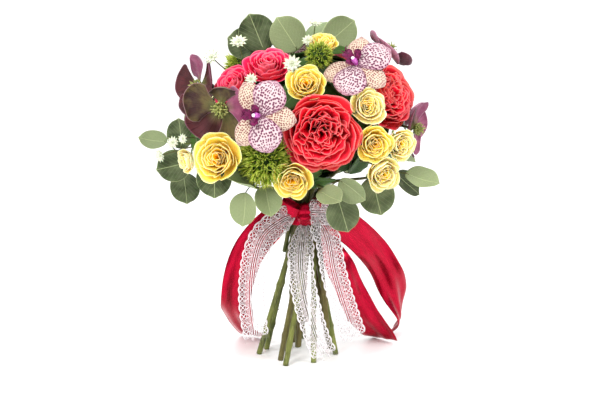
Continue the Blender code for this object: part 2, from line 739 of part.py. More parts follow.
def assign_slots(targets):
    """Gives each stem its slot: those that lean out most lie in the outer ring, in order of heading."""
    slots = waist_slots()

    def slope(name):
        return at(targets[name]).xy.length / (targets[name][2] - WAIST_HEIGHT)

    by_reach = sorted(targets, key=slope, reverse=True)
    given = {}
    for ring in (3, 2, 1, 0):
        count = len(slots[ring])
        members, by_reach = by_reach[:count], by_reach[count:]
        members.sort(key=lambda name: heading(targets[name]))
        places = sorted(slots[ring], key=lambda spot: math.atan2(spot.y, spot.x))
        best = min(range(count), key=lambda shift: mismatch(members, places, shift, targets))
        for i, name in enumerate(members):
            given[name] = places[(i * count // max(len(members), 1) + best) % count]
    return given


def mismatch(members, places, shift, targets):
    """How far the stems of one ring have to turn between the tie and their flowers."""
    total = 0.0
    for i, name in enumerate(members):
        spot = places[(i * len(places) // len(members) + shift) % len(places)]
        lift = math.atan(TWIST * (targets[name][2] - WAIST_HEIGHT) * TURN_ON)
        off = heading(targets[name]) - math.atan2(spot.y, spot.x) - lift
        total += (1 - math.cos(off)) * at(targets[name]).xy.length
    return total


def lower_stem(slot, foot, gain):
    """The straight run of a stem from its cut end up through the tie, and the way it then points."""
    spot = Vector((slot.x, slot.y, 0))
    lean = Vector((-TWIST * slot.y, TWIST * slot.x, 0))
    below, above = foot - WAIST_HEIGHT, TIE_HEIGHT / 2 + 0.004
    waist = spot + UP * WAIST_HEIGHT
    cut = waist + (lean * gain + UP) * below
    top = waist + (lean + UP) * above
    bottom = waist - (lean + UP) * (TIE_HEIGHT / 2)
    if abs(gain - 1) < 0.01:
        return [cut, top], lean + UP
    return [cut, bottom, top], lean + UP


def level_cut(obj, direction, foot):
    """Slides the lowest ring of a stem along the stem until its cut end lies level."""
    near = [v for v in obj.data.vertices if v.co.z - foot < END_RING]
    for vertex in near:
        vertex.co -= direction * ((vertex.co.z - foot) / direction.z)


def flower_stem(stem, slot):
    """A stem from its cut end through the tie to the calyx under each of its flowers."""
    run, lean = lower_stem(slot, stem.foot, stem.gain)
    top = run[-1]
    goals = [FLOWERS[name] for name in stem.flowers]
    parts = []
    if stem.fork is None:
        parts.append(calyx_run(run, top, lean, goals[0]))
    else:
        fork = at(stem.fork)
        reach = (fork - top).length
        middle = bezier(top, top + lean.normalized() * reach * 0.4, fork - (fork - top) * 0.3, fork, 5)
        rising = run + middle[1:]
        parts.append(tube(rising, [STEM_RADIUS] * len(rising)))
        for flower in goals:
            outward = (fork - top).normalized()
            parts.append(calyx_run([], fork - outward * 2 * BRANCH_RADIUS, outward, flower, BRANCH_RADIUS))
    obj = fuse(stem.name, parts, "stem_green")
    level_cut(obj, run[1] - run[0], stem.foot)
    return obj


def calyx_run(run, start, lean, flower, radius=STEM_RADIUS):
    """A tube from start to the flower, swelling into the calyx that its petals stand in."""
    faces = at(flower.faces).normalized()
    end = foot_of(flower)
    neck = end - faces * NECK
    reach = (neck - start).length
    rise = bezier(start, start + lean.normalized() * reach * 0.42, neck - faces * reach * 0.42, neck, 3)
    points = run[:-1] + rise + [end - faces * CUP, end]
    cup = CUP_RADIUS if flower.across > 0.03 else BUD_CUP_RADIUS
    radii = [STEM_RADIUS] * len(run[:-1]) + [radius] * len(rise) + [cup, cup]
    if run:
        radii[len(run) - 1] = STEM_RADIUS
    return tube(points, radii)


# Sprays: one node each, with stem, leaves and heads joined.


def leaf_blade(leaf, joint):
    """A round leaf, hollowed a little, whose flat stalk starts inside the branch at the joint."""
    radius = leaf.across / 2
    normal = at(leaf.faces).normalized()
    tip = at(leaf.tip)
    tip = (tip - normal * tip.dot(normal)).normalized()
    side = tip.cross(normal)

    def blade(u, turn):
        x = u * max(math.sin(turn), STALK_HALF)
        y = -math.cos(turn)
        hollow = HOLLOW * (x * x + 0.6 * y * y)
        return at(leaf.centre) + (side * x + tip * y * LEAF_LENGTH + normal * hollow) * radius

    def shape(u, v):
        if v < STALK_SHARE + 0.01:
            return joint.lerp(blade(u, 0), v / STALK_SHARE)
        turn = math.pi * (v - STALK_SHARE) / (1 - STALK_SHARE)
        return blade(u if v < 0.99 else 0, turn)

    return thin_sheet(shape, 2, 5, LEAF)


def eucalyptus_spray(spray, slot):
    """A branch through the tie with round leaves along its end."""
    run, lean = lower_stem(slot, SHORT_STEM, 1.0)
    top, tip, bulge = run[-1], at(spray.tip), at(spray.bulge)
    rise = bezier(top, top + lean * 0.03, bulge, tip, 5)
    radii = [STEM_RADIUS] * 2 + [0.0021 - 0.0001 * i for i in range(5)]
    parts = [tube(run[:-1] + rise, radii)]
    for i, leaf in enumerate(spray.leaves):
        knot = min(range(2, 6), key=lambda k: (rise[k] - at(leaf.centre)).length)
        joint = rise[knot].lerp(rise[knot - 1], 0.06 + 0.05 * i)
        parts.append(leaf_blade(leaf, joint))
    return fuse(spray.name, parts, "eucalyptus_leaf")


def masterwort_head(head):
    """A starry collar of bracts, raised in the middle into a dome of florets."""
    radius = head.across / 2
    mesh = bpy.data.meshes.new("collar")
    star = bmesh.new()
    bmesh.ops.create_circle(star, cap_ends=True, cap_tris=True, segments=BRACTS * 2, radius=radius)
    for vertex in star.verts:
        turn = math.atan2(vertex.co.y, vertex.co.x)
        if vertex.co.length < radius / 2:
            vertex.co.z = radius * DOME
        elif round(turn / math.pi * BRACTS) % 2:
            vertex.co.z = radius * TIP_RISE
        else:
            vertex.co *= NOTCH
            vertex.co.z = radius * NOTCH_RISE
    star.to_mesh(mesh)
    star.free()
    blade = link("collar", mesh, WORKSHOP)
    solid = blade.modifiers.new("thickness", "SOLIDIFY")
    solid.thickness = LEAF
    solid.offset = 0
    blade.matrix_world = pose(head.centre, head.faces)
    return blade


def masterwort_spray(name, slot):
    """A forked stem with a star on each branch."""
    fork, heads = MASTERWORT[name]
    run, lean = lower_stem(slot, SHORT_STEM, 1.0)
    top, fork = run[-1], at(fork)
    rise = bezier(top, top + lean * 0.05, fork - (fork - top) * 0.25, fork, 4)
    parts = [tube(run[:-1] + rise, [STEM_RADIUS] * 2 + [STALK_RADIUS] * 4)]
    outward = (fork - rise[-2]).normalized()
    for head in heads:
        faces = at(head.faces).normalized()
        start = fork - outward * 0.003
        end = at(head.centre) + faces * head.across / 2 * DOME
        reach = (end - start).length
        stalk = bezier(start, start + outward * reach * 0.3, end - faces * reach * 0.4, end, 3)
        parts += [tube(stalk, [STAR_STALK_RADIUS] * 3 + [STAR_STALK_TIP], 0), masterwort_head(head)]
    return fuse(name, parts, "masterwort_white")


def sphere_spots(count):
    """Evenly spread directions, by the golden angle."""
    spots = []
    for i in range(count):
        z = 1 - (2 * i + 1) / count
        turn = i * math.pi * (3 - math.sqrt(5))
        flat = math.sqrt(1 - z * z)
        spots.append(Vector((flat * math.cos(turn), flat * math.sin(turn), z)))
    return spots


def dianthus_ball(name, slot):
    """A round head of soft green bristles on its stem."""
    centre, across, bristles = DIANTHUS[name]
    centre = at(centre)
    draw = random.Random(len(name))
    run, lean = lower_stem(slot, SHORT_STEM, 1.0)
    top = run[-1]
    reach = (centre - top).length
    rise = bezier(top, top + lean.normalized() * reach * 0.4, centre.lerp(top, 0.25), centre, 5)
    parts = [tube(run[:-1] + rise, [STEM_RADIUS] * 2 + [0.0022] * 5)]
    core = bpy.data.meshes.new("core")
    ball = bmesh.new()
    bmesh.ops.create_icosphere(ball, subdivisions=2, radius=across * CORE)
    ball.to_mesh(core)
    ball.free()
    body = link("core", core, WORKSHOP)
    body.location = centre
    parts.append(body)
    for spot in sphere_spots(bristles):
        way = (spot + Vector([draw.uniform(-BRISTLE_TILT, BRISTLE_TILT) for _ in range(3)])).normalized()
        root = centre + spot * across * BRISTLE_ROOT
        parts.append(spike(root, root + way * across * BRISTLE_LENGTH, across * BRISTLE_RADIUS))
    return fuse(name, parts, "dianthus_green")


def orchid_spray(name, slot):
    """One orchid on its own stalk."""
    flower = FLOWERS[name]
    place = pose(foot_of(flower), flower.faces, flower.roll)
    parts = orchid_parts(flower.across)
    for part in parts:
        part.matrix_world = place
    run, lean = lower_stem(slot, SHORT_STEM, 1.0)
    top = run[-1]
    faces = at(flower.faces).normalized()
    end = foot_of(flower) + faces * 0.002
    reach = (end - top).length
    rise = bezier(top, top + lean.normalized() * reach * 0.42, end - faces * reach * 0.40, end, 7)
    stalk = tube(run[:-1] + rise, [STEM_RADIUS] * 2 + [STALK_RADIUS] * 7)
    return fuse(name, [stalk] + parts, "orchid_petal")


# Ribbons.


def catmull(values, t):
    """A smooth curve through the values, at t from 0 to 1."""
    spot = t * (len(values) - 1)
    i = min(int(spot), len(values) - 2)
    f = spot - i
    before = values[max(i - 1, 0)]
    here, after = values[i], values[i + 1]
    beyond = values[min(i + 2, len(values) - 1)]
    return (
        here * 2
        + (after - before) * f
        + (before * 2 - here * 5 + after * 4 - beyond) * f * f
        + (here * 3 - before - after * 3 + beyond) * f**3
    ) / 2


def ribbon(name, turns, width, rows, finish_name, scalloped=False):
    """A band that follows its turns, with a plain or a scalloped edge."""
    centres = [at(turn.centre) for turn in turns]
    ways = [at(turn.across).normalized() for turn in turns]

    def shape(u, v):
        half = width / 2 * min(1, GATHER + v * 4)
        if scalloped and round(v * rows) % 2:
            half *= SCALLOP
        return catmull(centres, v) + catmull(ways, v).normalized() * u * half

    return fuse(name, [thin_sheet(shape, 1 if scalloped else 2, rows, SATIN)], finish_name)


def satin_tie():
    """The satin wound round the stems at the waist, with its knot in front."""
    inner = WAIST_PITCH * math.sqrt(7) + STEM_RADIUS + TIE_PLAY
    outer = inner + TIE_THICKNESS
    half = TIE_HEIGHT / 2
    mesh = bpy.data.meshes.new("band")
    line = bmesh.new()
    corners = [(outer, half), (outer, -half), (inner, -half), (inner, half)]
    points = [line.verts.new((radius, 0, WAIST_HEIGHT + height)) for radius, height in corners]
    for first, second in zip(points, points[1:] + points[:1]):
        line.edges.new((first, second))
    line.to_mesh(mesh)
    line.free()
    band = link("band", mesh, WORKSHOP)
    screw = band.modifiers.new("turn", "SCREW")
    screw.steps = screw.render_steps = TIE_SIDES
    screw.use_merge_vertices = True
    screw.merge_threshold = MERGE
    knot_mesh = bpy.data.meshes.new("knot")
    ball = bmesh.new()
    bmesh.ops.create_icosphere(ball, subdivisions=2, radius=KNOT_RADIUS)
    ball.to_mesh(knot_mesh)
    ball.free()
    knot = link("knot", knot_mesh, WORKSHOP)
    knot.scale = KNOT_SHAPE
    knot.location = (0.002, -outer - 0.003, WAIST_HEIGHT + 0.002)
    return fuse("satin_tie", [band, knot], "satin_red")


def centre_on_base():
    """Moves the whole bouquet so that the origin is the middle of the box it stands in."""
    bpy.context.view_layer.update()
    points = [obj.matrix_world @ vertex.co for obj in BOUQUET.objects for vertex in obj.data.vertices]
    middle = [(min(p[k] for p in points) + max(p[k] for p in points)) / 2 for k in (0, 1)]
    root = bpy.data.objects.new("bouquet", None)
    bpy.context.scene.collection.objects.link(root)
    root.location = (-middle[0], -middle[1], 0)
    for obj in BOUQUET.objects:
        obj.parent = root
    print("moved by", [round(-m * 1000, 2) for m in middle], "mm")


def build():
    targets = {stem.name: stem.fork or tuple(foot_of(FLOWERS[stem.flowers[0]])) for stem in STEMS}
    targets.update({spray.name: spray.tip for spray in EUCALYPTUS})
    targets.update({name: fork for name, (fork, _) in MASTERWORT.items()})
    targets.update({name: centre for name, (centre, _, _) in DIANTHUS.items()})
    orchids = [name for name in FLOWERS if FLOWERS[name].kind == "orchid"]
    targets.update({name: tuple(foot_of(FLOWERS[name])) for name in orchids})
    slots = assign_slots(targets)
    for name, flower in FLOWERS.items():
        if flower.kind == "orchid":
            orchid_spray(name, slots[name])
        else:
            place_flower(name)
    for stem in STEMS:
        flower_stem(stem, slots[stem.name])
    for spray in EUCALYPTUS:
        eucalyptus_spray(spray, slots[spray.name])
    for name in MASTERWORT:
        masterwort_spray(name, slots[name])
    for name in DIANTHUS:
        dianthus_ball(name, slots[name])
    satin_tie()
    for name, turns in SATIN_TAILS.items():
        ribbon(name, turns, SATIN_WIDTH, SATIN_ROWS, "satin_red")
    for name, turns in LACE_TAILS.items():
        ribbon(name, turns, LACE_WIDTH, LACE_ROWS, "lace_white", scalloped=True)
    centre_on_base()


clear_scene()
WORKSHOP = bpy.data.collections.new("workshop")
BOUQUET = bpy.data.collections.new("bridal_bouquet")
bpy.context.scene.collection.children.link(WORKSHOP)
bpy.context.scene.collection.children.link(BOUQUET)
build()
bpy.data.collections.remove(WORKSHOP)
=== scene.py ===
# %% [markdown]
# # A hand-tied bridal bouquet
# The bouquet stands on the spread of its own cut stems. Garden roses, spray roses, moth orchids,
# hellebores, green dianthus, masterwort and silver dollar eucalyptus are tied at the waist with
# crimson satin and white lace. The solid model of each piece is loaded first, and each fine piece
# below is grown on the same centre line or the same flower axis, so nothing is fitted by eye.

# %% Load the solid model
import math
import random
from collections import namedtuple

import bpy
import numpy as np
from mathutils import Matrix, Vector


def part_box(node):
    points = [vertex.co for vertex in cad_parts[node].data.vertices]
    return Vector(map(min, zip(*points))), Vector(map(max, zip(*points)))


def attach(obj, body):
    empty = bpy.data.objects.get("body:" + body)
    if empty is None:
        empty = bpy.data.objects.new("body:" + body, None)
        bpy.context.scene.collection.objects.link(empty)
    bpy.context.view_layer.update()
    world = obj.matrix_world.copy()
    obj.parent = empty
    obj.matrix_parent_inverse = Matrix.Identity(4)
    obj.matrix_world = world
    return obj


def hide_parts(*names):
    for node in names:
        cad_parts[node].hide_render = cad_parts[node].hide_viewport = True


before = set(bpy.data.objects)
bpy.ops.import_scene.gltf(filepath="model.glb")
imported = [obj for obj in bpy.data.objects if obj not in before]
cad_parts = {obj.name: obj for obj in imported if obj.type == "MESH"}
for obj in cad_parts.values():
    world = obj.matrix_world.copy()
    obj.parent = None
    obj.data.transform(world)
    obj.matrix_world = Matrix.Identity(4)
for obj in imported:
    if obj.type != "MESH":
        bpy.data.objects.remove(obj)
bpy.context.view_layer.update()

# %% [markdown]
# The satin tie is a ring round the stems. Its middle is the line that the whole bunch turns round,
# so it is measured on the solid model, and every place below is counted from it.

# %% Find the binding point
tie_low, tie_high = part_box("satin_tie")
TIE_RADIUS = (tie_high.x - tie_low.x) / 2
AXIS = Vector(((tie_low.x + tie_high.x) / 2, tie_high.y - TIE_RADIUS, 0))
WAIST = (tie_low.z + tie_high.z) / 2
UP = Vector((0, 0, 1))
print("tie radius", round(1000 * TIE_RADIUS, 1), "mm, waist at", round(1000 * WAIST), "mm")

# %% [markdown]
# The picture was taken from a little above, with a longish lens, so the camera looks down by 13
# degrees from 1.7 m. A long lens keeps the flowers in true proportion.

# %% Camera
LOOK_DOWN = math.radians(13)
CAMERA_DISTANCE = 1.70
CAMERA_TARGET = AXIS + Vector((-0.0036, 0, 0.1916))


def put(name, data):
    """A new object in the scene."""
    made = bpy.data.objects.new(name, data)
    bpy.context.scene.collection.objects.link(made)
    return made


camera = put("camera", bpy.data.cameras.new("camera"))
camera.data.lens = 85
camera.data.sensor_width = 36
back = Vector((0, -math.cos(LOOK_DOWN), math.sin(LOOK_DOWN)))
camera.location = CAMERA_TARGET + back * CAMERA_DISTANCE
camera.rotation_euler = (-back).to_track_quat("-Z", "Y").to_euler()
bpy.context.scene.camera = camera
bpy.context.scene.view_settings.view_transform = "Standard"
print("camera", CAMERA_DISTANCE, "m away, lens", camera.data.lens, "mm")

# %% [markdown]
# The light is a white studio. Most of it comes from a wide ceiling, so the table is white while the
# sides of the flowers aren't washed out, and a large softbox at the front left gives them form. A
# weak one on the right opens the shadows. Below the horizon the room is white like the table. The
# room is wired with `add_node`, which the finishes below use as well.

# %% Light
SOFTBOXES = (
    ("key", (-1.0, -1.5, 1.5), 0.7, 34),
    ("fill", (1.5, -0.5, 1.25), 0.8, 15),
)
BOUQUET_MIDDLE = Vector((0, 0, 0.25))
LOW_LIGHT, HIGH_LIGHT = 0.22, 1.70
for name, place, size, power in SOFTBOXES:
    light = bpy.data.lights.new(name, "AREA")
    light.size = size
    light.energy = power
    lamp = put(name, light)
    lamp.location = place
    lamp.rotation_euler = (BOUQUET_MIDDLE - lamp.location).to_track_quat("-Z", "Y").to_euler()


def add_node(tree, kind, inputs=None, **settings):
    """A shader node with its settings, and a value or a link in each of the inputs."""
    made = tree.nodes.new("ShaderNode" + kind)
    for name, value in settings.items():
        setattr(made, name, value)
    for socket, value in (inputs or {}).items():
        if isinstance(value, bpy.types.NodeSocket):
            tree.links.new(value, made.inputs[socket])
        else:
            made.inputs[socket].default_value = value
    return made


def studio_room():
    """White below the horizon, dim at eye level and bright overhead."""
    world = bpy.data.worlds.new("room")
    world.use_nodes = True
    tree = world.node_tree
    way = add_node(tree, "TexCoord").outputs["Generated"]
    height = add_node(tree, "SeparateXYZ", {0: way}).outputs["Z"]
    rise = {"Value": height, "From Min": 0.1, "From Max": 0.7,
            "To Min": LOW_LIGHT, "To Max": HIGH_LIGHT}
    overhead = add_node(tree, "MapRange", rise).outputs[0]
    below = add_node(tree, "Math", {0: height, 1: 0.0}, operation="LESS_THAN").outputs[0]
    strength = add_node(tree, "Math", {0: below, 1: overhead}, operation="MAXIMUM").outputs[0]
    background = tree.nodes["Background"].inputs
    tree.links.new(strength, background["Strength"])
    background["Color"].default_value = (1, 1, 1, 1)
    bpy.context.scene.world = world


studio_room()
print(len(SOFTBOXES), "softboxes in a white room")

# %% [markdown]
# A finish is a small network of nodes. `Paint` keeps the wiring short: most of its methods add a
# node and give back its output, and `tint` lays one more colour over the others. Two things steer a
# finish. The UV map runs from 0 to 1 across a blade and along it. The attribute `craft` holds a tone
# drawn for each petal, 1 on the face of a blade and 0 on its back, and the place of the petal from
# the heart of the flower (0) to its outside (1).


# %% Finishes by nodes
class Paint:
    """A material, built a node at a time."""

    def __init__(self, name, colour=None, **sockets):
        self.material = bpy.data.materials.new(name)
        self.material.use_nodes = True
        self.tree = self.material.node_tree
        self.shader = self.tree.nodes["Principled BSDF"]
        for socket, value in sockets.items():
            self.shader.inputs[socket.replace("_", " ")].default_value = value
        self.colour = colour
        self.uv = self.node("UVMap", uv_map="UVMap").outputs["UV"]
        self.space = self.node("TexCoord").outputs["Object"]
        craft = self.node("Attribute", attribute_name="craft").outputs["Vector"]
        self.tone, self.face, self.place = self.node("SeparateXYZ", {0: craft}).outputs
        self.across, self.along = self.node("SeparateXYZ", {0: self.uv}).outputs[:2]
        self.off = self.math("ABSOLUTE", self.math("SUBTRACT", self.across, 0.5))

    def node(self, kind, inputs=None, **settings):
        return add_node(self.tree, kind, inputs, **settings)

    def math(self, operation, *values):
        return self.node("Math", dict(enumerate(values)), operation=operation).outputs[0]

    def span(self, value, low, high, start=0.0, end=1.0):
        """value from low..high brought to start..end, and held there outside."""
        inputs = {"Value": value, "From Min": low, "From Max": high, "To Min": start, "To Max": end}
        return self.node("MapRange", inputs, interpolation_type="SMOOTHSTEP").outputs[0]

    def rim(self, side, tip):
        """1 on the edge of a blade: from `side` off its middle line, and from `tip` along it."""
        return self.math("MAXIMUM", self.span(self.off, side, 0.5), self.span(self.along, tip, 1.0))

    def mix(self, share, first, second, blend="MIX"):
        inputs = {"Fac": share, "Color1": self.solid(first), "Color2": self.solid(second)}
        return self.node("MixRGB", inputs, blend_type=blend).outputs[0]

    def tint(self, colour, most, value, *limits):
        """Lays up to `most` of a colour over the others, by value or by its span in two limits."""
        if limits:
            share = self.span(value, *limits, 0.0, most)
        else:
            share = self.math("MULTIPLY", value, most)
        self.colour = self.mix(share, self.colour, colour)

    @staticmethod
    def solid(colour):
        return (*colour, 1) if isinstance(colour, tuple) else colour

    def ramp(self, value, *stops):
        ramp = self.node("ValToRGB", {"Fac": value})
        elements = ramp.color_ramp.elements
        for _ in stops[2:]:
            elements.new(0.5)
        for element, (position, colour) in zip(elements, stops):
            element.position = position
            element.color = self.solid(colour)
        return ramp.outputs["Color"]

    def stretched(self, scale, vector=None):
        return self.node("Mapping", {"Vector": vector or self.uv, "Scale": scale}).outputs[0]

    def noise(self, scale, vector, detail=3.0, distortion=0.0):
        inputs = {"Vector": vector, "Scale": scale, "Detail": detail, "Distortion": distortion}
        return self.node("TexNoise", inputs).outputs["Fac"]

    def clouds(self, scale, detail=3.0):
        """Soft patches in space."""
        return self.noise(scale, self.space, detail)

    def fibres(self, across, along, detail=3.0, distortion=0.0):
        """Streaks, so many across a blade and along it."""
        return self.noise(1.0, self.stretched((across, along, 1)), detail, distortion)

    def bump(self, height, distance, strength):
        inputs = {"Height": height, "Distance": distance, "Strength": strength}
        return self.node("Bump", inputs).outputs[0]

    def wear(self, **outputs):
        """The finished material, with its colour and these outputs in its shader."""
        for socket, output in outputs.items():
            self.tree.links.new(output, self.shader.inputs[socket])
        self.tree.links.new(self.colour, self.shader.inputs["Base Color"])
        return self.material

    def grained(self, grain, smooth, rough, distance, strength, height=None):
        """The finished material, rougher where the grain is high. The grain or a height bumps it."""
        roughness = self.span(grain, 0.3, 0.7, smooth, rough)
        return self.wear(Normal=self.bump(height or grain, distance, strength), Roughness=roughness)


# %% [markdown]
# The floor is a plain pale sweep. It is a little glossy, so that the stems have the faint
# reflection that they have on a studio table.

# %% Floor
FLOOR_HALF = 14.0
mesh = bpy.data.meshes.new("floor")
corners = [(x * FLOOR_HALF, y * FLOOR_HALF, 0) for x, y in ((-1, -1), (1, -1), (1, 1), (-1, 1))]
mesh.from_pydata(corners, [], [(0, 1, 2, 3)])
floor = put("floor", mesh)
floor.location = (0, 0, -0.0002)
paint = Paint("studio_table", Roughness=0.35)
white, whiter = (0.97, 0.97, 0.975), (0.985, 0.985, 0.985)
paint.colour = paint.ramp(paint.clouds(2.0), (0.3, white), (0.7, whiter))
mesh.materials.append(paint.wear())
print("floor", 2 * FLOOR_HALF, "m wide")

# %% [markdown]
# Every petal, leaf and ribbon here is a thin blade: a grid of points, given a thickness, so that it
# has two faces and a rim as the real one has. A `Mould` gathers the blades, stalks and bristles of
# one piece and casts them as one mesh. The mesh is laid in whole arrays with numpy, because a loop
# over single points would be slow.


# %% Cast a mesh from blades
def lattice(rows, columns):
    """u runs from -1 to 1 across a blade and v from 0 to 1 along it."""
    v, u = np.meshgrid(np.linspace(0, 1, rows), np.linspace(-1, 1, columns), indexing="ij")
    return u, v


def moved(points, matrix):
    matrix = np.array(matrix)
    return points @ matrix[:3, :3].T + matrix[:3, 3]


def unit(vectors):
    """The vectors at length one."""
    return vectors / np.maximum(np.linalg.norm(vectors, axis=-1, keepdims=True), 1e-12)


def normals_of(grid):
    """The way out of a grid of points, at each of them."""
    return unit(np.cross(np.gradient(grid, axis=1), np.gradient(grid, axis=0)))


def distances(path):
    """How far along a path each of its points is."""
    step = np.linalg.norm(np.diff(path, axis=0), axis=1)
    return np.concatenate([[0], np.cumsum(step)])


class Mould:
    """The blades, tubes and bristles of one piece."""

    def __init__(self, *finishes):
        self.finishes = finishes
        self.points, self.faces, self.uvs, self.crafts, self.slots = [], [], [], [], []
        self.count = 0

    def add(self, points, faces, uv, craft, finish=0):
        self.points.append(points)
        self.uvs.append(uv)
        self.crafts.append(np.broadcast_to(craft, (len(points), 3)))
        for group in faces:
            group = np.asarray(group) + self.count
            self.faces += group.tolist()
            self.slots += [finish] * len(group)
        self.count += len(points)

    def blade(self, grid, thickness, tone=0.5, place=0.0, finish=0, matrix=None):
        """A grid of points made a closed blade that thins towards its rim."""
        rows, columns = grid.shape[:2]
        u, v = lattice(rows, columns)
        rim = np.maximum(np.abs(u), np.abs(2 * v - 1)) ** 6
        offset = normals_of(grid) * (thickness / 2 * (1 - 0.5 * rim))[..., None]
        points = np.concatenate([(grid + offset).reshape(-1, 3), (grid - offset).reshape(-1, 3)])
        size = rows * columns
        index = np.arange(size).reshape(rows, columns)
        face = np.stack([index[:-1, :-1], index[:-1, 1:], index[1:, 1:], index[1:, :-1]], -1)
        face = face.reshape(-1, 4)
        edge = np.concatenate([index[0, :-1], index[:-1, -1], index[-1, :0:-1], index[:0:-1, 0]])
        after = np.roll(edge, -1)
        walls = np.stack([after, edge, edge + size, after + size], -1)
        uv = np.tile(np.stack([(u + 1) / 2, v], -1).reshape(-1, 2), (2, 1))
        craft = np.empty((2 * size, 3))
        craft[:, 0], craft[:, 2] = tone, place
        craft[:size, 1], craft[size:, 1] = 1, 0
        if matrix is not None:
            points = moved(points, matrix)
        self.add(points, [face, face[:, ::-1] + size, walls], uv, craft, finish)

    def tube(self, path, radii, sides, tone=0.5, place=0.0, finish=0, matrix=None, size=1.0):
        """A round stalk along a path, closed at both ends."""
        path = np.array([tuple(p) for p in path], float) * size
        if matrix is not None:
            path = moved(path, matrix)
        radii = np.broadcast_to(np.asarray(radii, float) * size, len(path))
        ahead = unit(np.gradient(path, axis=0))
        side = np.cross(ahead[0], (0.31, 0.22, 0.93))
        rings = []
        for point, way, radius in zip(path, ahead, radii):
            side = side - way * side.dot(way)
            side /= np.linalg.norm(side)
            other = np.cross(way, side)
            turn = np.arange(sides)[:, None] * 2 * math.pi / sides
            rings.append(point + radius * (np.cos(turn) * side + np.sin(turn) * other))
        rows = len(path)
        index = np.arange(rows * sides).reshape(rows, sides)
        beside = np.roll(index, -1, axis=1)
        wall = np.stack([index[:-1], beside[:-1], beside[1:], index[1:]], -1).reshape(-1, 4)
        uv = np.stack(np.broadcast_arrays(np.arange(sides) / sides, distances(path)[:, None]), -1)
        faces = [wall, index[:1, ::-1], index[-1:]]
        self.add(np.concatenate(rings), faces, uv.reshape(-1, 2), (tone, 1, place), finish)

    def scatter(self, points, faces, uv, matrices, tones):
        """Copies one small shape to every matrix, all in one array."""
        matrices = np.array(matrices)
        many = np.einsum("kij,nj->kni", matrices[:, :3, :3], points) + matrices[:, None, :3, 3]
        shift = (np.arange(len(matrices)) * len(points))[:, None, None]
        groups = [(np.asarray(group)[None] + shift).reshape(-1, len(group[0])) for group in faces]
        craft = np.ones((len(matrices), len(points), 3))
        craft[..., 0], craft[..., 2] = np.array(tones)[:, None], 0.5
        uv = np.tile(uv, (len(matrices), 1))
        self.add(many.reshape(-1, 3), groups, uv, craft.reshape(-1, 3))

    def cast(self, name, *nodes, slot):
        """The finished piece, which rides on the bouquet and stands for its solid nodes."""
        mesh = bpy.data.meshes.new(name)
        mesh.from_pydata(np.concatenate(self.points).tolist(), [], self.faces)
        corners = np.empty(len(mesh.loops), np.int32)
        mesh.loops.foreach_get("vertex_index", corners)
        uvs = np.concatenate(self.uvs)[corners]
        mesh.uv_layers.new(name="UVMap").uv.foreach_set("vector", uvs.ravel())
        craft = mesh.attributes.new("craft", "FLOAT_VECTOR", "POINT")
        craft.data.foreach_set("vector", np.concatenate(self.crafts).ravel())
        for material in self.finishes:
            mesh.materials.append(material)
        mesh.polygons.foreach_set("material_index", self.slots)
        mesh.shade_smooth()
        piece = put(name, mesh)
        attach(piece, "root")
        if nodes:
            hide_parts(*nodes)
        print(name, sum(len(face) - 2 for face in self.faces), "triangles")
        return piece


# %% [markdown]
# Where each flower sits, which way it faces, how wide it is and how far it is turned in its place.
# These are the places of the solid flowers, counted from the middle line of the tie and from the
# table upwards. `stand` gives the matrix of a flower there: its own +Z is the way it faces, and its
# stem meets it at its origin.

